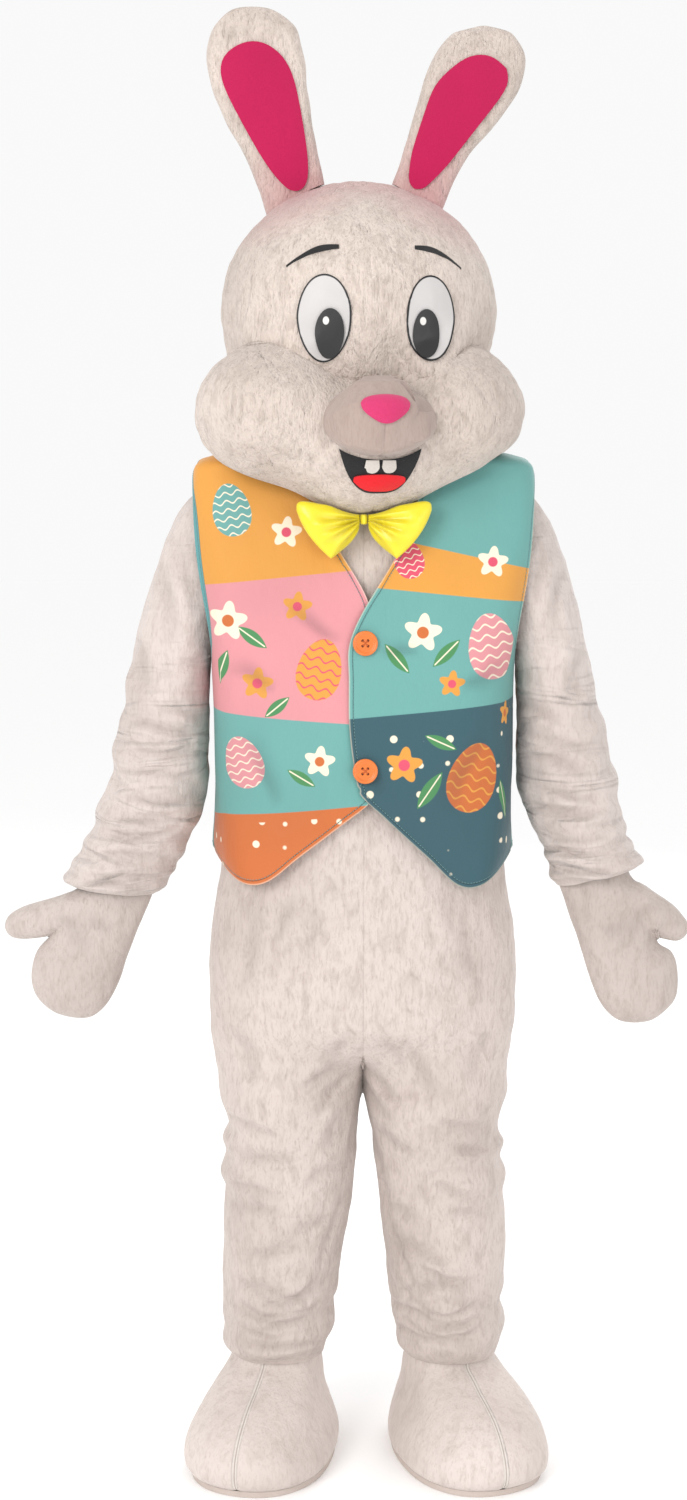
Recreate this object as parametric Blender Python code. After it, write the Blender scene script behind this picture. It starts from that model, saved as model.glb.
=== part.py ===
"""A rabbit mascot costume for stage wear, in the hollow form that it has when worn.

Metres, +Z up. The wearer faces -Y, and the costume's left below is the side at -X.
The origin is at the base of the neck, where the wearer's shoulders carry the costume.
Tables give heights above the soles, and place() takes the shoulder height off.
"""

import math

import bpy
from mathutils import Matrix, Vector
from mathutils.bvhtree import BVHTree

SHOULDER_HEIGHT = 1.42
SEAM_GAP = 0.0003
PLUSH = 0.0025
VEST_CLOTH = 0.002
FELT = 0.002
HEAD_FOAM = 0.010
EVENING = 0.25
LONGEST_OFFSET = 1.35
LEAST_OFFSET = 0.4
SIDES = {"left": -1, "right": 1}


# Reading the size tables

def read(table, at):
    """Every column of a table at one value of its first column, on a smooth curve through its rows."""
    rows = sorted(table)
    at = min(max(at, rows[0][0]), rows[-1][0])
    i = next(k for k in range(len(rows) - 1) if at <= rows[k + 1][0])
    low, high = rows[i], rows[i + 1]
    before, after = rows[max(i - 1, 0)], rows[min(i + 2, len(rows) - 1)]
    span = high[0] - low[0]
    t = (at - low[0]) / span
    values = []
    for c in range(1, len(low)):
        rise = high[c] - low[c]
        slope_low = slope_high = rise / span
        if i > 0:
            slope_low = limited(rise / span, (low[c] - before[c]) / (low[0] - before[0]))
        if i + 2 < len(rows):
            slope_high = limited(rise / span, (after[c] - high[c]) / (after[0] - high[0]))
        values.append(
            low[c] * (1 + 2 * t) * (1 - t) ** 2
            + slope_low * span * t * (1 - t) ** 2
            + high[c] * t * t * (3 - 2 * t)
            + slope_high * span * t * t * (t - 1)
        )
    return values


def limited(a, b):
    """The slope between two stretches of a curve, level where it turns back, so that it doesn't overshoot."""
    return 2 * a * b / (a + b) if a * b > 0 else 0.0


def mix(a, b, t):
    return a + (b - a) * t


def smooth(t):
    t = min(max(t, 0.0), 1.0)
    return t * t * (3 - 2 * t)


def place(x, y, height):
    return Vector((x, y, height - SHOULDER_HEIGHT))


def power(value, exponent):
    return math.copysign(abs(value) ** exponent, value)


# Turning surfaces into walls

class Sewn:
    """A surface of grids that share their seam points. It is cut into panels, each a wall with its own thickness."""

    def __init__(self):
        self.points = []
        self.found = {}
        self.faces = []

    def point(self, p):
        key = tuple(round(c * 1e6) for c in p)
        if key not in self.found:
            self.found[key] = len(self.points)
            self.points.append(Vector(p))
        return self.found[key]

    def grid(self, panel, rows, centres, closed=False):
        """Adds rows of points to a panel. centres are points inside the form, one a row, which say what is out."""
        made = []
        outwards = 0.0
        for i in range(len(rows) - 1):
            count = len(rows[i])
            for j in range(count if closed else count - 1):
                k = (j + 1) % count
                corners = []
                for p in (rows[i][j], rows[i][k], rows[i + 1][k], rows[i + 1][j]):
                    n = self.point(p)
                    if n not in corners:
                        corners.append(n)
                for corners in self.halves(corners):
                    middle = sum((self.points[n] for n in corners), Vector()) / 3
                    outwards += self.normal(corners).dot(middle - (centres[i] + centres[i + 1]) / 2)
                    made.append(corners)
        for corners in made:
            self.faces.append((corners if outwards > 0 else corners[::-1], panel))

    def halves(self, corners):
        """The triangles of a face, cut across its shorter diagonal."""
        if len(corners) < 4:
            return [corners] if len(corners) == 3 else []
        a, b, c, d = corners
        if (self.points[a] - self.points[c]).length <= (self.points[b] - self.points[d]).length:
            return [[a, b, c], [a, c, d]]
        return [[a, b, d], [b, c, d]]

    def normal(self, corners):
        a, b, c = (self.points[n] for n in corners)
        return (b - a).cross(c - a)

    def offsets(self):
        """Each point's way out, as long as a wall of even thickness needs. It stays on the middle plane there."""
        squares = [Matrix.Diagonal((0.0, 0.0, 0.0)) for _ in self.points]
        sums = [Vector() for _ in self.points]
        totals = [Vector() for _ in self.points]
        fans = [[] for _ in self.points]
        for corners, _ in self.faces:
            area = self.normal(corners)
            n = area.normalized()
            square = Matrix([[a * b for b in n] for a in n])
            for c in corners:
                squares[c] += square
                sums[c] += n
                totals[c] += area
                fans[c].append(n)
        ways = []
        for point, square, total, area, fan in zip(self.points, squares, sums, totals, fans):
            mean = area.normalized()
            way = (square + Matrix.Identity(3) * EVENING).inverted() @ (total + mean * EVENING)
            for _ in range(12):
                for n in fan:
                    way += n * max(LEAST_OFFSET - way.dot(n), 0.0)
            if abs(point.x) < 1e-9:
                way.x = 0.0
            ways.append(way.normalized() * min(way.length, LONGEST_OFFSET))
        return ways

    def wall(self, panel, thickness, material, seam=SEAM_GAP):
        """Makes one panel's solid. Its edges stand back by half a seam's gap."""
        ways = self.offsets()
        faces = [corners for corners, name in self.faces if name == panel]
        edges = {}
        pull = {}
        for corners in faces:
            middle = sum((self.points[n] for n in corners), Vector()) / len(corners)
            for a, b in zip(corners, corners[1:] + corners[:1]):
                edges[(a, b)] = True
                pull[a] = pull.get(a, Vector()) + (middle - self.points[a])
        rim = [(a, b) for a, b in edges if (b, a) not in edges]
        on_rim = {n for edge in rim for n in edge}
        order = sorted(pull)
        number = {n: i for i, n in enumerate(order)}
        outer, inner = [], []
        for n in order:
            p = self.points[n].copy()
            if n in on_rim:
                out = ways[n].normalized()
                along = pull[n] - out * pull[n].dot(out)
                p += along.normalized() * seam / 2
            outer.append(p)
            inner.append(p - ways[n] * thickness)
        shift = len(order)
        solid = [[number[n] for n in corners] for corners in faces]
        solid += [[number[n] + shift for n in reversed(corners)] for corners in faces]
        for a, b in rim:
            first = a < b
            a, b = number[a], number[b]
            if first:
                solid += [[b, a, a + shift], [b, a + shift, b + shift]]
            else:
                solid += [[b, a, b + shift], [a, a + shift, b + shift]]
        return body(panel, outer + inner, solid, material)

    def skin(self):
        """The surface as a tree that rays can hit."""
        return BVHTree.FromPolygons(self.points, [corners for corners, _ in self.faces])


def body(name, points, faces, material):
    mesh = bpy.data.meshes.new(name)
    mesh.from_pydata([tuple(p) for p in points], [], faces)
    mesh.validate()
    mesh.shade_smooth()
    mesh.set_sharp_from_angle(angle=math.radians(50))
    made = bpy.data.objects.new(name, mesh)
    mesh.materials.append(material)
    bpy.context.scene.collection.objects.link(made)
    return made


def between(name, outer, inner, material, closed=True):
    """The solid between two matching grids. A row may be one point repeated, and closed rows run right round."""
    surface = Sewn()
    under_middle = sum(inner[0], Vector()) / len(inner[0])
    back = under_middle * 2 - sum(outer[0], Vector()) / len(outer[0])
    surface.grid(name, outer, [back] * len(outer), closed=closed)
    under = {}
    for upper, lower in zip(outer, inner):
        for p, q in zip(upper, lower):
            under[surface.point(p)] = q
    faces = [corners for corners, _ in surface.faces]
    edges = {(a, b) for f in faces for a, b in zip(f, f[1:] + f[:1])}
    shift = len(surface.points)
    points = surface.points + [under[n] for n in range(shift)]
    faces = faces + [[n + shift for n in reversed(f)] for f in faces]
    for a, b in sorted(edges):
        if (b, a) not in edges:
            faces += [[b, a, a + shift], [b, a + shift, b + shift]]
    return body(name, points, faces, material)


def stuffed(name, rings, material):
    """A solid through closed rings, flat at both ends unless an end ring is one point repeated."""
    surface = Sewn()
    surface.grid(name, rings, [sum(ring, Vector()) / len(ring) for ring in rings], closed=True)
    faces = [corners for corners, _ in surface.faces]
    edges = {(a, b) for f in faces for a, b in zip(f, f[1:] + f[:1])}
    points = list(surface.points)
    for ring in (rings[0], rings[-1]):
        numbers = [surface.point(p) for p in ring]
        if len(set(numbers)) < 3:
            continue
        points.append(sum(ring, Vector()) / len(ring))
        for a, b in zip(numbers, numbers[1:] + numbers[:1]):
            if (a, b) in edges:
                faces.append([b, a, len(points) - 1])
            else:
                faces.append([a, b, len(points) - 1])
    return body(name, points, faces, material)


def material(name, colour, roughness):
    made = bpy.data.materials.new(name)
    made.use_nodes = True
    shader = made.node_tree.nodes["Principled BSDF"]
    shader.inputs["Base Color"].default_value = (*colour, 1.0)
    shader.inputs["Roughness"].default_value = roughness
    return made


# Folds, where slack cloth bunches round a sleeve or a leg

def fold_relief(folds, along, turn):
    """How far the cloth stands out from its even form, at a distance along a tube and an angle round it."""
    total = 0.0
    for trough, depth, width, tilt, facing, reach in folds:
        away = (turn - math.radians(facing) + math.pi) % (2 * math.pi) - math.pi
        share = math.exp(-((away / math.radians(reach)) ** 2))
        offset = (along - trough - tilt * math.sin(away)) / width
        total -= depth * share * math.exp(-offset * offset)
        total += 0.45 * depth * share * math.exp(-((abs(offset) - 1.9) ** 2))
    return total


# The body suit: four panels from neck to ankle, and two sleeves

TORSO = (  # height, half width, reach in front, reach behind
    (1.4600, 0.078, 0.060, 0.068),
    (1.4505, 0.086, 0.065, 0.073),
    (1.4486, 0.102, 0.070, 0.079),
    (1.4480, 0.122, 0.075, 0.084),
    (1.4449, 0.152, 0.082, 0.092),
    (1.4070, 0.190, 0.092, 0.102),
    (1.360, 0.196, 0.102, 0.111),
    (1.290, 0.194, 0.114, 0.117),
    (1.200, 0.195, 0.124, 0.118),
    (1.080, 0.196, 0.131, 0.118),
    (0.960, 0.198, 0.137, 0.121),
    (0.850, 0.2005, 0.139, 0.126),
    (0.800, 0.213, 0.143, 0.131),
    (0.740, 0.219, 0.144, 0.134),
    (0.660, 0.220, 0.140, 0.136),
    (0.600, 0.216, 0.133, 0.133),
    (0.525, 0.207, 0.118, 0.122),
)
TORSO_ROUNDNESS = 2.4
NECK_HEIGHTS = (1.460, 1.4505, 1.4480, 1.4449, 1.430)
WAIST_HEIGHTS = (1.100, 1.000, 0.900, 0.820, 0.740, 0.680)
WAIST_SEAM = 1.000  # under the vest
CROTCH_START = 0.640
CROTCH_HEIGHT = 0.525
CROTCH_ROWS = 3
PANEL_COLUMNS = 6

ARMHOLE_TOP = 1.407
ARMHOLE_BOTTOM = 1.190
ARMHOLE_OPENING = math.radians(38)
ARMHOLE_ROWS = 6

LEGS = {  # height, inner edge, outer edge, reach in front, reach behind
    "left": (
        (0.525, 0.0004, 0.207, 0.118, 0.122),
        (0.484, 0.007, 0.198, 0.111, 0.115),
        (0.394, 0.013, 0.203, 0.103, 0.108),
        (0.304, 0.027, 0.203, 0.098, 0.102),
        (0.213, 0.041, 0.202, 0.090, 0.094),
        (0.172, 0.046, 0.204, 0.087, 0.089),
        (0.154, 0.050, 0.200, 0.080, 0.081),
        (0.143, 0.058, 0.192, 0.0694, 0.0684),
    ),
    "right": (
        (0.525, 0.0004, 0.207, 0.118, 0.122),
        (0.484, 0.011, 0.198, 0.111, 0.115),
        (0.394, 0.022, 0.207, 0.103, 0.108),
        (0.304, 0.032, 0.208, 0.098, 0.102),
        (0.213, 0.043, 0.204, 0.090, 0.094),
        (0.172, 0.048, 0.206, 0.087, 0.089),
        (0.154, 0.052, 0.202, 0.080, 0.081),
        (0.143, 0.060, 0.194, 0.0694, 0.0684),
    ),
}
LEG_ROUNDNESS = 2.1
# Each fold: height of its trough, depth, width, tilt, the way it faces (0 outwards, 90 forwards), how far round.
LEG_FOLDS = {
    "left": (
        (0.487, 0.007, 0.013, 0.010, 10, 70),
        (0.440, 0.006, 0.012, -0.012, 20, 75),
        (0.392, 0.007, 0.012, 0.014, 30, 80),
        (0.300, 0.005, 0.014, 0.022, 125, 80),
        (0.236, 0.006, 0.012, -0.018, 90, 100),
        (0.196, 0.007, 0.010, 0.012, 70, 140),
        (0.164, 0.006, 0.008, -0.006, 90, 170),
    ),
    "right": (
        (0.478, 0.006, 0.012, -0.010, 20, 70),
        (0.436, 0.006, 0.012, 0.010, 0, 75),
        (0.385, 0.005, 0.012, -0.012, 30, 80),
        (0.305, 0.006, 0.014, 0.024, 120, 80),
        (0.242, 0.007, 0.012, 0.020, 100, 100),
        (0.200, 0.006, 0.010, -0.014, 70, 140),
        (0.166, 0.006, 0.008, 0.006, 90, 170),
    ),
}

ARM_LINES = {  # station, inner x, inner height, outer x, outer height, middle y, half depth
    "left": (
        (0, 0.0, 0.0, 0.0, 0.0, 0.0, 0.0),
        (1, 0.204, 1.176, 0.240, 1.384, 0.000, 0.076),
        (2, 0.211, 1.162, 0.274, 1.330, 0.000, 0.078),
        (3, 0.2165, 1.135, 0.298, 1.262, 0.002, 0.078),
        (4, 0.2185, 1.090, 0.316, 1.196, 0.004, 0.077),
        (5, 0.2190, 1.035, 0.333, 1.128, 0.006, 0.076),
        (6, 0.2195, 0.985, 0.347, 1.058, 0.004, 0.075),
        (7, 0.2280, 0.942, 0.360, 0.992, -0.002, 0.073),
        (8, 0.2440, 0.902, 0.380, 0.930, -0.012, 0.070),
        (9, 0.2660, 0.862, 0.406, 0.876, -0.022, 0.066),
        (10, 0.2790, 0.834, 0.424, 0.846, -0.030, 0.062),
        (11, 0.2960, 0.824, 0.412, 0.836, -0.033, 0.044),
    ),
    "right": (
        (0, 0.0, 0.0, 0.0, 0.0, 0.0, 0.0),
        (1, 0.204, 1.176, 0.240, 1.380, 0.000, 0.076),
        (2, 0.211, 1.162, 0.272, 1.326, 0.000, 0.078),
        (3, 0.2165, 1.135, 0.294, 1.258, 0.002, 0.078),
        (4, 0.2185, 1.090, 0.311, 1.192, 0.004, 0.077),
        (5, 0.2190, 1.035, 0.327, 1.124, 0.006, 0.076),
        (6, 0.2195, 0.985, 0.343, 1.056, 0.004, 0.075),
        (7, 0.2290, 0.945, 0.358, 0.996, -0.002, 0.073),
        (8, 0.2430, 0.912, 0.367, 0.940, -0.012, 0.070),
        (9, 0.2580, 0.880, 0.379, 0.898, -0.022, 0.066),
        (10, 0.2640, 0.850, 0.397, 0.874, -0.030, 0.062),
        (11, 0.2750, 0.8365, 0.388, 0.8635, -0.033, 0.044),
    ),
}
# Each fold: station of its trough, depth, width, tilt, the way it faces (0 outwards, 90 forwards), how far round.
SLEEVE_FOLDS = {
    "left": (
        (4.70, 0.005, 0.18, 0.25, 40, 90),
        (5.45, 0.006, 0.19, -0.30, 20, 110),
        (6.20, 0.006, 0.19, 0.25, 60, 120),
        (6.90, 0.007, 0.18, -0.20, 30, 130),
        (7.55, 0.006, 0.17, 0.22, 80, 140),
        (8.20, 0.007, 0.17, -0.16, 40, 150),
        (8.85, 0.006, 0.16, 0.12, 70, 150),
        (9.50, 0.006, 0.15, -0.08, 90, 170),
    ),
    "right": (
        (4.80, 0.005, 0.18, -0.28, 50, 90),
        (5.50, 0.006, 0.19, 0.25, 30, 110),
        (6.20, 0.006, 0.19, -0.28, 60, 120),
        (6.85, 0.006, 0.18, 0.22, 20, 130),
        (7.50, 0.007, 0.17, -0.20, 70, 140),
        (8.15, 0.006, 0.17, 0.16, 50, 150),
        (8.80, 0.007, 0.16, -0.12, 80, 150),
        (9.45, 0.006, 0.15, 0.08, 60, 170),
    ),
}
CUFF_STATION = 11


def torso_point(side, turn, height, back):
    """A point of the torso. turn goes from 0 at the centre line to 90 degrees at the side."""
    width, front, behind = read(TORSO, height)
    reach = behind if back else -front
    bend = 2 / TORSO_ROUNDNESS
    return place(side * width * power(math.sin(turn), bend), reach * power(math.cos(turn), bend), height)


def armhole_turn(height):
    """Where the panel ends at the armhole, as an angle from the centre line."""
    share = (height - ARMHOLE_BOTTOM) / (ARMHOLE_TOP - ARMHOLE_BOTTOM)
    if not 0 < share < 1:
        return math.pi / 2
    return math.pi / 2 - ARMHOLE_OPENING * math.sin(math.pi * share) ** 0.7


def armhole_heights():
    span = ARMHOLE_TOP - ARMHOLE_BOTTOM
    return [ARMHOLE_BOTTOM + span * (1 + math.cos(math.pi * i / ARMHOLE_ROWS)) / 2 for i in range(ARMHOLE_ROWS + 1)]


def leg_point(name, turn, height, back):
    """A point of a leg. turn goes from -90 degrees at the inseam to 90 at the side seam."""
    inner, outer, front, behind = read(LEGS[name], height)
    side = SIDES[name]
    reach = behind if back else -front
    bend = 2 / LEG_ROUNDNESS
    half = (outer - inner) / 2
    facing = math.atan2(math.cos(turn) * (-1 if back else 1), math.sin(turn))
    relief = fold_relief(LEG_FOLDS[name], height, facing)
    across = (inner + outer) / 2 + (half + relief) * power(math.sin(turn), bend)
    across = max(across, SEAM_GAP / 2 + 0.0002)
    return place(side * across, (reach + math.copysign(relief, reach)) * power(math.cos(turn), bend), height)


def fold_rows(folds, top, bottom):
    """Rows for a stretch of tube, at each fold's trough and at the crest between two."""
    troughs = sorted((f[0] for f in folds), reverse=top > bottom)
    rows = [top]
    for a, b in zip(troughs, troughs[1:]):
        rows += [a, (a + b) / 2]
    return rows + [troughs[-1], (troughs[-1] + bottom) / 2, bottom]


def suit_panels(surface, name, back):
    """A quarter of the suit: a bodice panel over the waist seam, and a trouser panel under it."""
    side = SIDES[name]
    rows, centres = [], []
    for height in (*NECK_HEIGHTS, *armhole_heights(), *WAIST_HEIGHTS):
        edge = armhole_turn(height)
        turns = [edge * c / PANEL_COLUMNS for c in range(PANEL_COLUMNS + 1)]
        rows.append([torso_point(side, t, height, back) for t in turns])
        centres.append(place(0, 0, height))
    for i in range(CROTCH_ROWS + 1):
        share = i / CROTCH_ROWS
        height = mix(CROTCH_START, CROTCH_HEIGHT, share)
        row = []
        for c in range(PANEL_COLUMNS + 1):
            turn = math.pi / 2 * c / PANEL_COLUMNS
            trunk = torso_point(side, turn, height, back)
            leg = leg_point(name, 2 * turn - math.pi / 2, CROTCH_HEIGHT, back)
            leg.z = trunk.z
            p = trunk.lerp(leg, smooth(share))
            if c == 0:
                p.x = 0.0
            elif abs(p.x) < 2 * SEAM_GAP:
                p.x = side * 2 * SEAM_GAP
            row.append(p)
        rows.append(row)
        centres.append(place(side * 0.1 * share, 0, height))
    ankle = min(row[0] for row in LEGS[name])
    for height in fold_rows(LEG_FOLDS[name], CROTCH_HEIGHT, ankle)[1:]:
        turns = [math.pi * c / PANEL_COLUMNS - math.pi / 2 for c in range(PANEL_COLUMNS + 1)]
        rows.append([leg_point(name, t, height, back) for t in turns])
        centres.append(place(side * 0.11, 0, height))
    waist = next(i for i, row in enumerate(rows) if row[0].z < WAIST_SEAM + 1e-6 - SHOULDER_HEIGHT)
    end = f"{'back' if back else 'front'}_{name}"
    surface.grid(f"suit_{end}", rows[: waist + 1], centres[: waist + 1])
    surface.grid(f"trouser_{end}", rows[waist:], centres[waist:])


def sleeve_point(name, station, turn):
    """A point of a sleeve past the armhole. turn is 0 on the outer line and 90 degrees in front."""
    inner_x, inner_h, outer_x, outer_h, middle_y, depth = read(ARM_LINES[name][1:], station)
    relief = fold_relief(SLEEVE_FOLDS[name], station, turn)
    outer = place(SIDES[name] * outer_x, 0, outer_h)
    inner = place(SIDES[name] * inner_x, 0, inner_h)
    half = (outer - inner) / 2
    middle = (outer + inner) / 2 + Vector((0, middle_y, 0))
    across = half.normalized() * (half.length + relief) * math.cos(turn)
    return middle + across + Vector((0, -(depth + relief) * math.sin(turn), 0))


def armhole_ring(name):
    """The armhole's edge on the torso, from the shoulder down the front and up the back."""
    heights = armhole_heights()
    front = [torso_point(SIDES[name], armhole_turn(h), h, False) for h in heights]
    back = [torso_point(SIDES[name], armhole_turn(h), h, True) for h in heights]
    return front + back[-2:0:-1]


def make_sleeve(name, plush):
    surface = Sewn()
    count = 2 * ARMHOLE_ROWS
    rings = [armhole_ring(name)]
    stations = [1, 2, 3, *fold_rows(SLEEVE_FOLDS[name], 4.2, CUFF_STATION)[0:-2], 10, 10.5, CUFF_STATION]
    for station in stations:
        rings.append([sleeve_point(name, station, 2 * math.pi * i / count) for i in range(count)])
    surface.grid(f"sleeve_{name}", rings, [sum(r, Vector()) / count for r in rings], closed=True)
    surface.wall(f"sleeve_{name}", PLUSH, plush, seam=2 * SEAM_GAP)


def make_suit(plush):
    surface = Sewn()
    for name in SIDES:
        for back in (False, True):
            suit_panels(surface, name, back)
    panels = []
    for name in SIDES:
        for end in ("front", "back"):
            panels.append(surface.wall(f"suit_{end}_{name}", PLUSH, plush))
            panels.append(surface.wall(f"trouser_{end}_{name}", PLUSH, plush))
        make_sleeve(name, plush)
    return skin_of(*panels)


# The vest: two fronts that overlap, a back, and two buttons

VEST = (  # height, half width, reach in front, reach behind, roundness
    (1.4530, 0.098, 0.071, 0.080, 2.4),
    (1.4510, 0.122, 0.078, 0.087, 2.8),
    (1.4470, 0.160, 0.086, 0.096, 3.4),
    (1.4415, 0.200, 0.092, 0.102, 4.2),
    (1.4310, 0.230, 0.097, 0.107, 5.0),
    (1.4050, 0.237, 0.101, 0.112, 6.0),
    (1.3600, 0.238, 0.113, 0.122, 6.0),
    (1.2900, 0.234, 0.125, 0.128, 6.0),
    (1.2300, 0.224, 0.133, 0.129, 4.8),
    (1.1500, 0.2115, 0.139, 0.129, 3.4),
    (1.0800, 0.2105, 0.143, 0.129, 2.8),
    (0.9600, 0.2110, 0.150, 0.132, 2.6),
    (0.8800, 0.2135, 0.156, 0.139, 2.6),
    (0.8400, 0.2180, 0.160, 0.143, 2.6),
)
VEST_SHOULDER = (1.4530, 1.4310)
VEST_HEM = 0.884
VEST_BACK_NECK = 1.4500
VEST_ARMHOLE = (  # height, how far the panels' edges stand from the side
    (1.140, 0.000), (1.185, 0.066), (1.240, 0.087), (1.300, 0.090), (1.360, 0.078), (1.405, 0.046), (1.431, 0.000),
)
VEST_HEM_ROWS = 3
VEST_HEIGHTS = (1.000, 1.070, 1.140, 1.185, 1.240, 1.300, 1.360, 1.405)
VEST_TOP_SHARES = (0.40, 0.70, 0.90, 1.0)
VEST_COLUMNS = 6
VEST_NECK_COLUMNS = 2
VEST_OVERLAP = 0.0050
# The front edges and hems run along x and height: down from the shoulder, and from the front edge to the side.
VEST_EDGES = {
    "left": (
        (0.968, 0.008), (1.060, 0.012), (1.180, 0.012), (1.248, 0.006), (1.305, -0.030), (1.400, -0.078),
        (1.453, -0.098),
    ),
    "right": (
        (0.977, -0.002), (1.040, -0.020), (1.180, -0.020), (1.221, -0.005), (1.301, 0.043), (1.400, 0.082),
        (1.453, 0.098),
    ),
}
VEST_HEMS = {
    "left": ((0.008, 0.968), (-0.060, 0.915), (-0.135, 0.857), (-0.155, 0.850), (-0.174, 0.855), (-0.197, 0.875)),
    "right": ((-0.002, 0.977), (0.060, 0.918), (0.131, 0.852), (0.150, 0.846), (0.172, 0.853), (0.195, 0.875)),
}
BUTTON_HEIGHTS = {"upper": 1.186, "lower": 1.013}
BUTTON_X = 0.002
BUTTON_RADIUS = 0.017
BUTTON_THICKNESS = 0.004
SECTION_STEPS = 96
vest_sections = {}


def vest_section(height, back):
    """A quarter of the vest's outline at a height, as girth from the centre line, x and reach."""
    key = (round(height, 6), back)
    if key not in vest_sections:
        width, front, behind, roundness = read(VEST, height)
        reach = behind if back else front
        points = []
        girth = 0.0
        for i in range(SECTION_STEPS + 1):
            turn = math.pi / 2 * (1 - math.cos(math.pi * i / SECTION_STEPS)) / 2
            x = width * power(math.sin(turn), 2 / roundness)
            y = reach * power(math.cos(turn), 2 / roundness) if i < SECTION_STEPS else 0.0
            if points:
                girth += math.dist((x, y), points[-1][1:])
            points.append((girth, x, y))
        vest_sections[key] = points
    return vest_sections[key]


def along_section(section, at, column):
    """The section's values where one of its columns reaches a value."""
    at = min(max(at, section[0][column]), section[-1][column])
    for a, b in zip(section, section[1:]):
        if at <= b[column]:
            t = (at - a[column]) / (b[column] - a[column])
            return [mix(p, q, t) for p, q in zip(a, b)]
    return list(section[-1])


def vest_point(side, girth, height, back):
    """A point of the vest's form. A girth below 0 is past the centre line."""
    _, x, reach = along_section(vest_section(height, back), abs(girth), 0)
    return place(side * math.copysign(x, girth), reach if back else -reach, height)


def vest_girth(x, height, back=False):
    return math.copysign(along_section(vest_section(height, back), abs(x), 1)[0], x)


def vest_side(height, back):
    """The girth at which a panel ends: at the side seam, or short of it round the armhole."""
    return vest_section(height, back)[-1][0] - read(VEST_ARMHOLE, height)[0]


def along(points, share):
    """A point a share of the way along a broken line."""
    points = [Vector(p) for p in points]
    lengths = [(b - a).length for a, b in zip(points, points[1:])]
    left = share * sum(lengths)
    for a, b, length in zip(points, points[1:], lengths):
        if left <= length:
            return a.lerp(b, left / length)
        left -= length
    return points[-1]


def vest_front_guides(name):
    """The left or right front's rows, as girths and heights from the front edge to the side."""
    side = SIDES[name]
    shares = [c / VEST_COLUMNS for c in range(VEST_COLUMNS + 1)]
    hem = VEST_HEMS[name] + ((side * vest_section(VEST_HEM, False)[-1][1], VEST_HEM),)
    guides = [[]]
    for u in shares:
        x, height = along(hem, u)
        guides[0].append((vest_girth(side * x, height), height))
    guides[0][-1] = (vest_side(VEST_HEM, False), VEST_HEM)
    for height in VEST_HEIGHTS:
        edge = vest_girth(side * read(VEST_EDGES[name], height)[0], height)
        guides.append([(mix(edge, vest_side(height, False), u), height) for u in shares])
    guides.append([])
    for u in shares:
        height = mix(*VEST_SHOULDER, u)
        guides[-1].append((vest_section(height, False)[-1][0], height))
    return guides


def vest_back_guides(name):
    """Half of the back's rows, from the centre to the side. The last follows the neck, then the shoulder."""
    columns = VEST_NECK_COLUMNS + VEST_COLUMNS
    guides = []
    for height in (VEST_HEM, *VEST_HEIGHTS):
        guides.append([(vest_side(height, True) * c / columns, height) for c in range(columns + 1)])
    guides.append([])
    for c in range(VEST_NECK_COLUMNS):
        u = c / VEST_NECK_COLUMNS
        height = mix(VEST_BACK_NECK, VEST_SHOULDER[0], u * u)
        guides[-1].append((vest_section(height, True)[-1][0] * u, height))
    for c in range(VEST_COLUMNS + 1):
        height = mix(*VEST_SHOULDER, c / VEST_COLUMNS)
        guides[-1].append((vest_section(height, True)[-1][0], height))
    return guides


def vest_rows(name, back):
    """The guides with the rows between them, as points. The right front rises over the left one's edge."""
    side = SIDES[name]
    guides = vest_back_guides(name) if back else vest_front_guides(name)
    laid = []
    for n in range(VEST_HEM_ROWS):
        laid.append([tuple(Vector(a).lerp(b, n / VEST_HEM_ROWS)) for a, b in zip(guides[0], guides[1])])
    laid += guides[1:-1]
    for share in VEST_TOP_SHARES:
        laid.append([tuple(Vector(a).lerp(b, share)) for a, b in zip(guides[-2], guides[-1])])
    laid[-1] = guides[-1]
    rows = []
    for row in laid:
        points = [vest_point(side, girth, height, back) for girth, height in row]
        if name == "right" and not back:
            for p, (_, height) in zip(points, row):
                p.y -= VEST_OVERLAP * smooth((0.045 - p.x) / 0.030) * smooth((1.280 - height) / 0.03)
        rows.append(points)
    return rows


def make_vest(cloth, horn):
    surface = Sewn()
    for name in SIDES:
        for back in (False, True):
            rows = vest_rows(name, back)
            centres = [place(0, 0, min(sum(p.z for p in row) / len(row) + SHOULDER_HEIGHT, 1.36)) for row in rows]
            surface.grid("vest_back" if back else f"vest_front_{name}", rows, centres)
    for panel in ("vest_front_left", "vest_front_right", "vest_back"):
        surface.wall(panel, VEST_CLOTH, cloth)
    for name, height in BUTTON_HEIGHTS.items():
        make_button(f"button_{name}", height, horn)


def make_button(name, height, horn):
    """A turned disc with a raised rim, flat behind, standing a seam's gap off the overlapping front."""
    profile = (
        (0.0, 0.0), (0.96, 0.0), (1.0, 0.3), (1.0, 0.75), (0.93, 1.0), (0.80, 1.0), (0.70, 0.62), (0.0, 0.62),
    )
    rings = []
    for radius, out in profile:
        ring = []
        for i in range(16):
            turn = 2 * math.pi * i / 16
            x = BUTTON_X + radius * BUTTON_RADIUS * math.cos(turn)
            up = height + radius * BUTTON_RADIUS * math.sin(turn)
            face = vest_point(1, 0.0, up, False).y - VEST_OVERLAP - 2 * SEAM_GAP
            ring.append(place(x, face - out * BUTTON_THICKNESS, up))
        rings.append(ring)
    stuffed(name, rings, horn)


# The head: a foam shell in three panels, with the ears and the face on it

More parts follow.
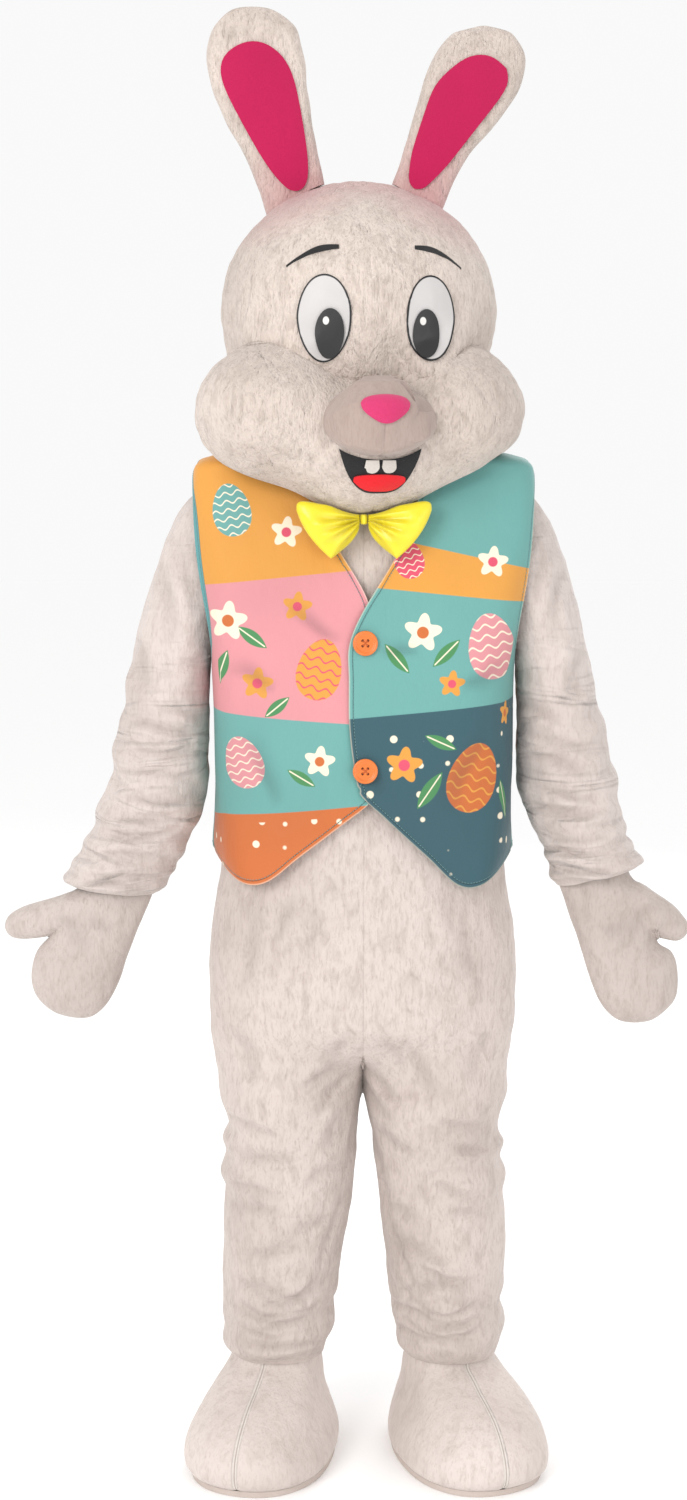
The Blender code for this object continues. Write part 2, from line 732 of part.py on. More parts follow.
HEAD_MIDDLE = (-0.006, 0.0, 1.589)
HEAD_TURN = math.radians(8)
HEAD_FORMS = (  # x, y and height of each round form from the head's middle, then its three radii
    (0.000, 0.004, 0.048, 0.191, 0.190, 0.177),
    (-0.131, -0.092, -0.092, 0.105, 0.108, 0.093),
    (0.108, -0.092, -0.092, 0.105, 0.108, 0.093),
    (0.000, -0.074, -0.134, 0.150, 0.126, 0.102),
    (0.000, 0.035, -0.068, 0.186, 0.158, 0.132),
)
HEAD_BLEND = 22.0
HEAD_SEAM = (  # turn from the front in degrees, angle down from straight up
    (0, 110.0), (15, 108.0), (30, 98.0), (45, 91.5), (60, 91.0), (75, 95.0), (90, 98.0), (110, 95.5), (180, 96.0),
)
HEAD_RIM = (
    (0, 152.5), (25, 146.5), (45, 135.5), (52, 130.0), (60, 126.0), (90, 126.0), (135, 128.0), (180, 132.0),
)
HEAD_REST = {"level": -0.1542, "front": -0.100, "slope": 0.9, "from": 46, "to": 62}
HEAD_COLUMNS = 32
CROWN_ROWS = 7
JAW_ROWS = 6


def head_reach(direction):
    """How far the head's surface is from its middle: the forms' farthest sides, softly joined."""
    total = 0.0
    for x, y, z, rx, ry, rz in HEAD_FORMS:
        d = Vector((direction.x / rx, direction.y / ry, direction.z / rz))
        c = Vector((x / rx, y / ry, z / rz))
        half = d.dot(c)
        inside = half * half - d.length_squared * (c.length_squared - 1)
        if inside > 0:
            reach = (half + math.sqrt(inside)) / d.length_squared
            if reach > 0:
                total += reach ** HEAD_BLEND
    reach = total ** (1 / HEAD_BLEND)
    limit = shoulder_reach(Matrix.Rotation(HEAD_TURN, 3, "Z") @ direction)
    return (reach ** -HEAD_BLEND + limit ** -HEAD_BLEND) ** (-1 / HEAD_BLEND)


def shoulder_reach(direction):
    """How far the head may reach before the shoulders: a level floor that falls away in front of the chest."""
    turn = abs(math.degrees(math.atan2(direction.x, -direction.y)))
    level, front, slope = HEAD_REST["level"], HEAD_REST["front"], HEAD_REST["slope"]
    if direction.z > -0.2:
        return 1.0
    floor = level / direction.z
    steep = direction.z - slope * direction.y
    fall = (level - slope * front) / steep if steep < -0.02 else 1.0
    share = smooth((turn - HEAD_REST["from"]) / (HEAD_REST["to"] - HEAD_REST["from"]))
    return min(max(floor, fall), 1.0) + 0.3 * (1 - share)


def head_place(local):
    """A point given from the head's middle, facing forwards, in its place on the turned head."""
    x, y, height = HEAD_MIDDLE
    turned = Matrix.Rotation(HEAD_TURN, 3, "Z") @ Vector(local)
    return place(x, y, height) + turned


def head_angle(table, turn):
    """An angle down from straight up that changes round the head, the same on both sides."""
    return math.radians(read(table, abs(math.degrees(math.remainder(turn, 2 * math.pi))))[0])


def head_point(fall, turn):
    direction = Vector((math.sin(fall) * math.sin(turn), -math.sin(fall) * math.cos(turn), math.cos(fall)))
    return head_place(direction * head_reach(direction))


def make_head(plush):
    surface = Sewn()
    middle = head_place((0, 0, 0))
    turns = [2 * math.pi * c / HEAD_COLUMNS for c in range(HEAD_COLUMNS + 1)]
    crown = [
        [head_point(head_angle(HEAD_SEAM, t) * r / CROWN_ROWS, t) for t in turns] for r in range(CROWN_ROWS + 1)
    ]
    surface.grid("head_crown", crown, [middle] * len(crown))
    half = HEAD_COLUMNS // 2
    for name, span in (("right", turns[: half + 1]), ("left", turns[half:])):
        jaw = []
        for r in range(JAW_ROWS + 1):
            row = []
            for t in span:
                fall = mix(head_angle(HEAD_SEAM, t), head_angle(HEAD_RIM, t + HEAD_TURN), r / JAW_ROWS)
                row.append(head_point(fall, t))
            jaw.append(row)
        surface.grid(f"head_jaw_{name}", jaw, [middle] * len(jaw))
    for panel in ("head_crown", "head_jaw_left", "head_jaw_right"):
        surface.wall(panel, HEAD_FOAM, plush)
    return surface.skin()


def on_skin(skin, x, height, lift):
    """The point straight ahead of the face at x and height, from the head's middle, lifted off what is there."""
    start = head_place((x, -0.6, height))
    ahead = head_place((x, 0.0, height)) - start
    hit, normal, _, _ = skin.ray_cast(start, ahead.normalized())
    if hit is None:
        raise ValueError(f"nothing is ahead of the face at {x}, {height}")
    if normal.dot(ahead) > 0:
        normal = -normal
    return hit + normal * lift


def skin_of(*objects):
    points, faces = [], []
    for o in objects:
        shift = len(points)
        points += [v.co.copy() for v in o.data.vertices]
        faces += [[n + shift for n in p.vertices] for p in o.data.polygons]
    return BVHTree.FromPolygons(points, faces)


def clear_of(skin, rows_at, closed=True):
    """The least lift at which a grid of rows stands clear of what is under it, with a seam's gap added."""
    for step in range(1, 30):
        lift = step * SEAM_GAP / 2
        rows = rows_at(lift)
        points = [p for row in rows for p in row]
        faces = []
        for r in range(len(rows) - 1):
            count = len(rows[r])
            for j in range(count if closed else count - 1):
                a, b = r * count + j, r * count + (j + 1) % count
                faces += [[a, b, b + count], [a, b + count, a + count]]
        if not BVHTree.FromPolygons(points, faces).overlap(skin):
            return lift + SEAM_GAP
    raise ValueError("no lift is clear")


def patch(name, skin, outline, thickness, cloth, rings=3, dome=0.0, middle=None):
    """A piece that lies on the face: rings that shrink from its outline to its middle. dome pads it out."""
    if middle is None:
        middle = [sum(values) / len(outline) for values in zip(*outline)]

    def rows_at(lift, over=0.0):
        rows = []
        for r in range(rings + 1):
            share = r / rings
            pad = over * (thickness + dome * math.sqrt(max(1 - share * share, 0.0)))
            rows.append([
                on_skin(skin, mix(middle[0], x, share), mix(middle[1], h, share), lift + pad) for x, h in outline
            ])
        return rows

    lift = clear_of(skin, rows_at)
    return between(name, rows_at(lift, 1.0), rows_at(lift), cloth)


def oval(x, height, half_width, half_height, tilt=0.0, count=16, point=0.0):
    """An oval's outline. point above 0 narrows its lower end."""
    made = []
    for i in range(count):
        turn = 2 * math.pi * i / count
        a = half_width * math.cos(turn) * (1 + point * math.sin(turn))
        b = half_height * math.sin(turn)
        made.append((x + a * math.cos(tilt) - b * math.sin(tilt), height + a * math.sin(tilt) + b * math.cos(tilt)))
    return made


EYE = {"x": 0.070, "height": 0.028, "half_width": 0.034, "half_height": 0.056}
PUPIL = {"x": 0.064, "height": 0.008, "half_width": 0.0185, "half_height": 0.032}
BROW_ENDS = ((0.050, 0.120), (0.116, 0.096))
MUZZLE = {"x": 0.0, "height": -0.106, "half_width": 0.074, "half_height": 0.046, "dome": 0.046}
NOSE = {"height": -0.0930, "half_width": 0.030, "half_height": 0.0180}
MOUTH = {"half_width": 0.054, "bottom": -0.1985, "gap": 0.005}
TOOTH = {"x": 0.0110, "half_width": 0.0094, "top": -0.1578, "bottom": -0.1735}
TONGUE = {"half_width": 0.034, "top": -0.1800}


def muzzle_edge(x):
    """The height of the muzzle's lower edge."""
    return MUZZLE["height"] - MUZZLE["half_height"] * math.sqrt(1 - (x / MUZZLE["half_width"]) ** 2)


def mouth_floor(x):
    """The height of the smile's lower edge."""
    corner = muzzle_edge(MOUTH["half_width"]) - MOUTH["gap"]
    return mix(MOUTH["bottom"], corner, (abs(x) / MOUTH["half_width"]) ** 3.2)


def mouth_outline(count=10):
    """A smile whose top follows the muzzle."""
    reach = MOUTH["half_width"]
    xs = [-reach * math.cos(math.pi * i / count) for i in range(count + 1)]
    return [(x, muzzle_edge(x) - MOUTH["gap"]) for x in xs] + [(x, mouth_floor(x)) for x in xs[-2:0:-1]]


def tongue_outline(count=8):
    """The low part of the smile, with a rounded top."""
    reach = TONGUE["half_width"]
    xs = [-reach * math.cos(math.pi * i / count) for i in range(count + 1)]
    upper = [(x, TONGUE["top"] + 0.004 * math.sqrt(max(1 - (x / reach) ** 2, 0))) for x in xs]
    return upper + [(x, mouth_floor(x) + 0.0015) for x in xs[-1::-1]]


def tooth_outline(x):
    """A tooth that hangs from the muzzle, straight above and round below."""
    half = TOOTH["half_width"]
    arc = 0.85 * half
    turns = [math.pi * i / 8 for i in range(9)]
    upper = [(x + half * a, TOOTH["top"]) for a in (0.9, 0.3, -0.3, -0.9)]
    return upper + [(x - half * math.cos(t), TOOTH["bottom"] + arc * (1 - math.sin(t))) for t in turns]


def make_brow(name, side, skin, cloth):
    """A slim arch that tapers at its outer end."""
    (x0, h0), (x1, h1) = BROW_ENDS
    count = 6

    def rows_at(lift):
        rows = []
        for i in range(count + 1):
            t = i / count
            h = mix(h0, h1, t) + 0.007 * math.sin(math.pi * t)
            half = 0.0050 * (1 - 0.75 * t) * (0.5 + 0.5 * smooth(3 * t))
            rows.append([on_skin(skin, side * mix(x0, x1, t), h + a * half, lift) for a in (-1, 0, 1)])
        return rows

    lift = clear_of(skin, rows_at, closed=False)
    between(name, rows_at(lift + FELT), rows_at(lift), cloth, closed=False)


def make_face(skin, felts):
    for name, side in SIDES.items():
        white = patch(
            f"eye_{name}", skin, oval(side * EYE["x"], EYE["height"], EYE["half_width"], EYE["half_height"], count=20),
            FELT, felts["eye"], rings=4,
        )
        patch(
            f"pupil_{name}", skin_of(white),
            oval(side * PUPIL["x"], PUPIL["height"], PUPIL["half_width"], PUPIL["half_height"], count=14),
            0.0015, felts["black"],
        )
        make_brow(f"brow_{name}", side, skin, felts["black"])
    muzzle = patch(
        "muzzle", skin, oval(MUZZLE["x"], MUZZLE["height"], MUZZLE["half_width"], MUZZLE["half_height"], count=20),
        0.003, felts["muzzle"], rings=6, dome=MUZZLE["dome"],
    )
    patch(
        "nose", skin_of(muzzle), oval(0.0, NOSE["height"], NOSE["half_width"], NOSE["half_height"], point=0.35),
        FELT, felts["pink"], rings=3, dome=0.004,
    )
    mouth = patch("mouth", skin, mouth_outline(), 0.0015, felts["black"], rings=4, middle=(0.0, -0.178))
    patch("tongue", skin_of(mouth), tongue_outline(), FELT, felts["red"], rings=2, dome=0.002)
    for name, side in SIDES.items():
        patch(f"tooth_{name}", skin_of(mouth), tooth_outline(side * TOOTH["x"]), 0.003, felts["tooth"], rings=2)


# The ears: stuffed paddles, each with a pink lining on its front

EARS = {  # height, inner edge, outer edge, middle y, half thickness
    "left": (
        (1.7700, 0.050, 0.114, -0.010, 0.012),
        (1.8010, 0.054, 0.132, -0.010, 0.015),
        (1.8410, 0.061, 0.159, -0.008, 0.018),
        (1.8970, 0.071, 0.190, -0.004, 0.020),
        (1.9480, 0.078, 0.211, 0.000, 0.020),
        (1.9880, 0.083, 0.215, 0.004, 0.019),
        (2.0140, 0.090, 0.211, 0.006, 0.017),
        (2.0340, 0.103, 0.197, 0.008, 0.014),
        (2.0460, 0.125, 0.181, 0.008, 0.009),
        (2.0510, 0.153, 0.153, 0.008, 0.0),
    ),
    "right": (
        (1.7700, 0.034, 0.096, -0.010, 0.012),
        (1.8060, 0.041, 0.110, -0.010, 0.015),
        (1.8410, 0.051, 0.139, -0.008, 0.018),
        (1.8970, 0.068, 0.185, -0.004, 0.020),
        (1.9410, 0.080, 0.215, 0.000, 0.020),
        (1.9720, 0.091, 0.223, 0.004, 0.019),
        (1.9940, 0.103, 0.219, 0.006, 0.017),
        (2.0120, 0.120, 0.206, 0.008, 0.014),
        (2.0210, 0.142, 0.186, 0.008, 0.009),
        (2.0250, 0.164, 0.164, 0.008, 0.0),
    ),
}
EAR_ROWS = (1.841, 1.872, 1.905, 1.948, 1.985, 2.010)
EAR_TIP_ROWS = 3
EAR_COLUMNS = 14
EAR_FLATNESS = 2.6
EAR_LINING_MIDDLE = (1.905, 0.48)
EAR_LININGS = {  # height, then the lining's two edges as shares of the ear's width from its inner edge
    "left": (
        (1.800, 0.43, 0.60),
        (1.810, 0.28, 0.70),
        (1.828, 0.19, 0.76),
        (1.860, 0.13, 0.80),
        (1.910, 0.11, 0.84),
        (1.950, 0.13, 0.87),
        (1.980, 0.22, 0.82),
        (1.998, 0.40, 0.62),
    ),
    "right": (
        (1.802, 0.43, 0.60),
        (1.812, 0.28, 0.72),
        (1.832, 0.18, 0.79),
        (1.860, 0.12, 0.81),
        (1.905, 0.11, 0.84),
        (1.940, 0.13, 0.86),
        (1.964, 0.24, 0.80),
        (1.980, 0.40, 0.62),
    ),
}


def ear_point(name, turn, height):
    inner, outer, y, thick = read(EARS[name], height)
    bend = 2 / EAR_FLATNESS
    x = (inner + outer) / 2 + (outer - inner) / 2 * power(math.cos(turn), 1.0)
    return place(SIDES[name] * x, y - thick * power(math.sin(turn), bend), height)


def make_ear(name, skin, plush, pink):
    tip = max(row[0] for row in EARS[name])
    rows = [h for h in EAR_ROWS if h < tip - 0.012]
    last = rows[-1]
    for i in range(1, EAR_TIP_ROWS + 1):
        rows.append(mix(last, tip, math.sin(math.pi / 2 * i / EAR_TIP_ROWS)))
    turns = [2 * math.pi * c / EAR_COLUMNS for c in range(EAR_COLUMNS)]
    rim = [ear_point(name, turn, 1.800) for turn in turns]
    middle = sum(rim, Vector()) / len(rim)

    def base_at(lift):
        rows = []
        for share in (0.0, 0.5, 1.0):
            row = []
            for p in rim:
                q = middle.lerp(p, share)
                hit, _, _, _ = skin.ray_cast(Vector((q.x, q.y, 1.0)), Vector((0, 0, -1)))
                row.append(hit + Vector((0, 0, lift)))
            rows.append(row)
        return rows

    rings = base_at(clear_of(skin, base_at)) + [[ear_point(name, t, h) for t in turns] for h in rows]
    front = skin_of(stuffed(f"ear_{name}", rings, plush))
    outline = [(h, a) for h, a, _ in EAR_LININGS[name]] + [(h, b) for h, _, b in reversed(EAR_LININGS[name])]

    def lining_at(lift):
        made = []
        for share in (0.0, 0.28, 0.52, 0.76, 1.0):
            row = []
            for h, across in outline:
                height = mix(EAR_LINING_MIDDLE[0], h, share)
                edge_in, edge_out, _, _ = read(EARS[name], height)
                x = SIDES[name] * mix(edge_in, edge_out, mix(EAR_LINING_MIDDLE[1], across, share))
                hit, _, _, _ = front.ray_cast(place(x, -0.3, height), Vector((0, 1, 0)))
                row.append(hit - Vector((0, lift, 0)))
            made.append(row)
        return made

    lift = clear_of(front, lining_at)
    between(f"ear_lining_{name}", lining_at(lift + FELT), lining_at(lift), pink)


# The mittens: a palm and a back each, sewn together round the edge, with a thumb

MITTENS = {
    "left": {
        "wrist": (0.3537, 0.8320), "tips": (0.432, 0.655), "root": (0.428, 0.822), "thumb_tip": (0.507, 0.776),
        "notch": (0.447, 0.762),
    },
    "right": {
        "wrist": (0.3319, 0.850), "tips": (0.408, 0.646), "root": (0.399, 0.837), "thumb_tip": (0.457, 0.768),
        "notch": (0.418, 0.757),
    },
}
MITTEN_Y = (-0.034, -0.060)
# Rows of the hand: share of the way from wrist to tips, thumb side's and other side's reach, half thickness.
MITTEN_HAND = (
    (-0.16, 0.040, 0.0500, 0.029),
    (0.00, 0.043, 0.0560, 0.030),
    (0.12, 0.046, 0.0555, 0.032),
    (0.30, 0.064, 0.055, 0.034),
    (0.47, 0.068, 0.059, 0.034),
    (0.62, 0.066, 0.062, 0.032),
    (0.78, 0.059, 0.060, 0.029),
    (0.90, 0.046, 0.048, 0.023),
    (0.97, 0.027, 0.031, 0.014),
    (1.00, 0.000, 0.000, 0.0),
)
MITTEN_HAND_COLUMNS = 5
MITTEN_THUMB_COLUMNS = 3
MITTEN_TRUNK = (-0.16, -0.03, 0.10)
MITTEN_FORK = 0.46
MITTEN_WEB = 0.6
MITTEN_LOBE = (0.62, 0.75, 0.86, 0.94, 0.985, 1.0)
THUMB = ((0.0, 0.034, 0.026), (0.30, 0.026, 0.024), (0.60, 0.023, 0.021), (0.85, 0.017, 0.016), (0.96, 0.009, 0.009), (1.0, 0.0, 0.0))


def make_mitten(name, plush):
    """Both halves are cut from one form: a wrist, then a hand and a thumb that part at the notch."""
    side = SIDES[name]
    wrist, tips, root, notch, thumb_tip = (
        Vector(MITTENS[name][k]) for k in ("wrist", "tips", "root", "notch", "thumb_tip")
    )
    down = tips - wrist
    thumb_way = Vector((-down.y, down.x)).normalized()
    notch_reach = (notch - wrist).dot(thumb_way)
    thumb_base = (root + notch) / 2
    columns = MITTEN_HAND_COLUMNS + MITTEN_THUMB_COLUMNS

    def at(flat, share, out):
        return place(side * flat.x, mix(*MITTEN_Y, share) + out, flat.y)

    def hand(share, turn, face, from_notch):
        """turn is 0 on the thumb side and 180 degrees on the other. Past the notch it starts at the notch."""
        thumb_side, other_side, half = read(MITTEN_HAND, share)
        if from_notch:
            thumb_side = min(mix(notch_reach, thumb_side, smooth((share - MITTEN_FORK) / 0.25)), thumb_side)
        reach = thumb_side if math.cos(turn) > 0 else other_side
        flat = wrist + down * share + thumb_way * reach * math.cos(turn)
        return at(flat, share, face * half * math.sin(turn))

    def thumb(share, turn, face):
        """turn is 0 on the thumb's upper edge and 180 degrees on the edge that meets the notch."""
        half_width, half = read(THUMB, share)
        way = (thumb_tip - thumb_base).normalized()
        upper = Vector((-way.y, way.x))
        flat = thumb_base.lerp(thumb_tip, share) + upper * half_width * math.cos(turn)
        return at(flat, 0.4, face * half * math.sin(turn))

    def fork(face):
        """The row that the hand and the thumb share, pinched at the notch."""
        row = []
        for c in range(MITTEN_THUMB_COLUMNS + 1):
            turn = math.pi * c / MITTEN_THUMB_COLUMNS
            flat = root.lerp(notch, (1 - math.cos(turn)) / 2)
            row.append(at(flat, 0.4, face * 0.027 * math.sin(turn)))
        _, other_side, half = read(MITTEN_HAND, MITTEN_FORK)
        far = wrist + down * MITTEN_FORK - thumb_way * other_side
        for c in range(1, MITTEN_HAND_COLUMNS + 1):
            turn = math.pi * c / MITTEN_HAND_COLUMNS
            row.append(at(notch.lerp(far, (1 - math.cos(turn)) / 2), 0.4, face * half * math.sin(turn)))
        return row

    surface = Sewn()
    for half_name, face in (("palm", -1), ("back", 1)):
        panel = f"mitten_{half_name}_{name}"
        shared = fork(face)
        rows = [
            [hand(share, math.pi * c / columns, face, False) for c in range(columns + 1)] for share in MITTEN_TRUNK
        ]
        web = [a.lerp(b, MITTEN_WEB) for a, b in zip(rows[-1], shared)]
        for c in range(1, columns):
            web[c].y = mix(at(wrist, 0.3, face * 0.034).y, web[c].y, 0.25 if 1 < c < columns - 1 else 0.7)
        rows += [web, shared]
        shares = (*MITTEN_TRUNK, mix(MITTEN_TRUNK[-1], MITTEN_FORK, MITTEN_WEB), MITTEN_FORK)
        surface.grid(panel, rows, [at(wrist + down * s, s, 0) for s in shares])
        rows = [shared[MITTEN_THUMB_COLUMNS:]] + [
            [hand(share, math.pi * c / MITTEN_HAND_COLUMNS, face, True) for c in range(MITTEN_HAND_COLUMNS + 1)]
            for share in MITTEN_LOBE
        ]
        surface.grid(panel, rows, [at(wrist + down * s, s, 0) for s in (MITTEN_FORK, *MITTEN_LOBE)])
        rows = [shared[: MITTEN_THUMB_COLUMNS + 1]] + [
            [thumb(row[0], math.pi * c / MITTEN_THUMB_COLUMNS, face) for c in range(MITTEN_THUMB_COLUMNS + 1)]
            for row in THUMB[1:]
        ]
        surface.grid(panel, rows, [at(thumb_base.lerp(thumb_tip, row[0]), 0.4, 0) for row in THUMB])
    for half_name in ("palm", "back"):
        surface.wall(f"mitten_{half_name}_{name}", PLUSH, plush)


# The feet: hollow plush overshoes, each with two upper panels on a flat sole

FOOT = (  # height, middle's reach forwards, half length, half width, wider in front, slimmer inside
    (0.0083, 0.045, 0.152, 0.095, 0.16, 0.0),
    (0.0180, 0.047, 0.160, 0.102, 0.16, 0.02),
    (0.0400, 0.047, 0.163, 0.102, 0.16, 0.06),
    (0.0700, 0.042, 0.153, 0.094, 0.15, 0.12),
    (0.0950, 0.029, 0.133, 0.084, 0.12, 0.16),
    (0.1140, 0.012, 0.107, 0.075, 0.08, 0.13),
    (0.1300, 0.001, 0.0790, 0.0660, 0.04, 0.05),
    (0.1430, 0.000, 0.0640, 0.0620, 0.0, 0.0),
    (0.1680, 0.000, 0.0550, 0.0540, 0.0, 0.0),
)
FOOT_ROUNDNESS = 2.2
FOOT_COLUMNS = 18
ANKLES = {"left": 0.1250, "right": 0.1270}
TOE_OUT = {"left": math.radians(15), "right": math.radians(20)}
FOOT_PLUSH = 0.004
SOLE_THICKNESS = 0.008
VAMP_SEAM = 0
COLLAR_HEIGHTS = [0.1432 + 0.0004 * n for n in range(61)]
COLLAR_ROOM = 0.0006


def foot_ring(name, height, forward, half_length, half_width, wider, slimmer):
    side = SIDES[name]
    ring = []
    for i in range(FOOT_COLUMNS):
        turn = 2 * math.pi * i / FOOT_COLUMNS
        x = half_width * power(math.sin(turn), 2 / FOOT_ROUNDNESS) * (1 + wider * math.cos(turn))
        if x < 0:
            x *= 1 - slimmer
        y = -(forward + half_length * power(math.cos(turn), 2 / FOOT_ROUNDNESS))
        out = Matrix.Rotation(TOE_OUT[name], 2) @ Vector((x, y))
        ring.append(place(side * (out.x + ANKLES[name]), out.y, height))
    return ring


def make_foot(name, legs, plush, sole):
    """legs is the suit's skin. The collar stands just inside the leg."""
    rings = [foot_ring(name, *row) for row in FOOT]
    middle = SIDES[name] * ANKLES[name]
    reaches = []
    for p in rings[-1]:
        way = Vector((p.x - middle, p.y, 0.0)).normalized()
        hits = []
        for height in COLLAR_HEIGHTS:
            start = place(middle, 0.0, height)
            hit, _, _, _ = legs.ray_cast(start, way)
            if hit is not None:
                hits.append((hit - start).length)
        reaches.append(min(hits))
    count = len(reaches)
    for i in range(count):
        reach = min(reaches[i], (reaches[i - 1] + reaches[(i + 1) % count]) / 2) - COLLAR_ROOM
        for ring in rings[-2:]:
            p = ring[i]
            out = Vector((p.x - middle, p.y)).normalized() * reach
            ring[i] = Vector((middle + out.x, out.y, p.z))
    centres = [place(middle, -row[1], row[0]) for row in FOOT]
    surface = Sewn()
    heel = FOOT_COLUMNS // 2
    surface.grid(f"foot_outer_{name}", [ring[VAMP_SEAM : heel + 1] for ring in rings], centres)
    surface.grid(f"foot_inner_{name}", [ring[heel:] + ring[: VAMP_SEAM + 1] for ring in rings], centres)
    surface.wall(f"foot_outer_{name}", FOOT_PLUSH, plush)
    surface.wall(f"foot_inner_{name}", FOOT_PLUSH, plush)
    stuffed(f"sole_{name}", [foot_ring(name, h, *FOOT[0][1:]) for h in (SOLE_THICKNESS, 0.0)], sole)


# The bow: two stuffed satin loops and a knot, sewn to the front of the neck

BOW_LOOP = (  # reach from the middle, lower edge, upper edge, y of its middle, half depth
    (0.0060, 1.3440, 1.3590, -0.1215, 0.0060),
    (0.0085, 1.3360, 1.3592, -0.1240, 0.0085),
    (0.0140, 1.3265, 1.3600, -0.1285, 0.0110),
    (0.0225, 1.3170, 1.3622, -0.1335, 0.0125),
    (0.0330, 1.3085, 1.3658, -0.1385, 0.0135),
    (0.0440, 1.2995, 1.3705, -0.1415, 0.0135),
    (0.0580, 1.3125, 1.3735, -0.1440, 0.0130),
    (0.0715, 1.3280, 1.3760, -0.1445, 0.0115),
    (0.0815, 1.3430, 1.3770, -0.1440, 0.0085),
    (0.0880, 1.3570, 1.3755, -0.1435, 0.0045),
    (0.0905, 1.3640, 1.3715, -0.1433, 0.0015),
)
BOW_KNOT = {"height": 1.3525, "half_height": 0.0070, "half_width": 0.0055, "y": -0.1186, "half_depth": 0.0149}


def make_bow(satin):
    for name, side in SIDES.items():
        rings = []
        for reach, low, high, y, depth in BOW_LOOP:
            ring = []
            for i in range(14):
                turn = 2 * math.pi * i / 14
                gather = 1 + 0.18 * math.cos(5 * turn) * (1 - reach / 0.1)
                ring.append(place(side * reach, y - depth * gather * math.cos(turn), mix(low, high, (1 + math.sin(turn)) / 2)))
            rings.append(ring)
        stuffed(f"bow_{name}", rings, satin)
    rings = []
    for up, size in ((-1.0, 0.6), (-0.8, 0.95), (0.0, 1.0), (0.8, 0.95), (1.0, 0.6)):
        height = BOW_KNOT["height"] + up * BOW_KNOT["half_height"]
        rings.append([
            place(
                BOW_KNOT["half_width"] * size * math.cos(math.pi * i / 5),
                BOW_KNOT["y"] - BOW_KNOT["half_depth"] * size * math.sin(math.pi * i / 5),
                height,
            )
            for i in range(10)
        ])
    stuffed("bow_knot", rings, satin)


def main():
    for o in list(bpy.data.objects):
        bpy.data.objects.remove(o)
    plush = material("white_plush", (0.85, 0.80, 0.76), 0.95)
    short_plush = material("short_plush", (0.80, 0.74, 0.70), 0.9)
    pink = material("pink_felt", (0.80, 0.06, 0.22), 0.9)
    black = material("black_felt", (0.01, 0.01, 0.01), 0.8)
    felts = {
        "pink": pink,
        "black": black,
        "muzzle": short_plush,
        "eye": material("eye_fabric", (0.60, 0.57, 0.55), 0.7),
        "red": material("red_felt", (0.75, 0.01, 0.02), 0.8),
        "tooth": material("tooth_felt", (0.70, 0.66, 0.62), 0.7),
    }
    legs = make_suit(plush)
    make_vest(material("printed_satin", (0.22, 0.45, 0.43), 0.6), material("orange_horn", (0.80, 0.22, 0.02), 0.4))
    skin = make_head(plush)
    make_face(skin, felts)
    for name in SIDES:
        make_ear(name, skin, plush, pink)
        make_mitten(name, short_plush)
        make_foot(name, legs, plush, material("sole_vinyl", (0.62, 0.55, 0.50), 0.8))
    make_bow(material("yellow_satin", (0.85, 0.72, 0.02), 0.35))


main()
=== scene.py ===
"""The looks of a rabbit mascot costume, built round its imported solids: plush, felt, a printed vest and a
satin bow."""

import math

import bmesh
import bpy
import numpy as np
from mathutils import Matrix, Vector
from mathutils.bvhtree import BVHTree
from mathutils.kdtree import KDTree


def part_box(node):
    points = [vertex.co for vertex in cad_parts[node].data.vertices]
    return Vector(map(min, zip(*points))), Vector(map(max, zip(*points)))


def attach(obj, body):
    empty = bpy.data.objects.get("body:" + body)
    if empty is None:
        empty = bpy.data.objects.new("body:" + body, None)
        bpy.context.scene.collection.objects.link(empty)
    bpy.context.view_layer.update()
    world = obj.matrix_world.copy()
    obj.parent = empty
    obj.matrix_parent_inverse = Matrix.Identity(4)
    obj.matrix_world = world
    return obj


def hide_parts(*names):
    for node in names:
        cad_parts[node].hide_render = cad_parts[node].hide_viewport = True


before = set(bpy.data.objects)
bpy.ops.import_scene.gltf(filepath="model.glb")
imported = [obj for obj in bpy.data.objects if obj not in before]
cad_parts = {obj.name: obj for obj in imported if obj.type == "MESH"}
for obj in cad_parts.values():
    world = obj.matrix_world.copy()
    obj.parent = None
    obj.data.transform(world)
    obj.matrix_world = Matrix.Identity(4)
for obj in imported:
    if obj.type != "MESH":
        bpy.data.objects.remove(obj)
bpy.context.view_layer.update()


# The plush suit
# Eight panels of short white polyester pile on a knitted backing, sewn down the middle, down the sides and
# round a waist that the vest covers. It is loose, so the cloth bunches at the knees and over the feet.

FLOOR = -1.42  # the part's origin is 1.42 m over the soles, and heights here are over the floor
SIDES = ("left", "right")
SUIT_WALL = 0.003
FINE = 3  # subdivision levels of a garment
FAR = 40.0  # millimetres, past which a stored distance isn't told apart
WELD = 2e-5  # metres, within which a solid's loose triangles share a point
SEAM_WELD = 0.0012  # metres, within which two panels' edges are one seam
PILE_LIGHT, PILE_SHADE = "#c7bbb5", "#93857d"
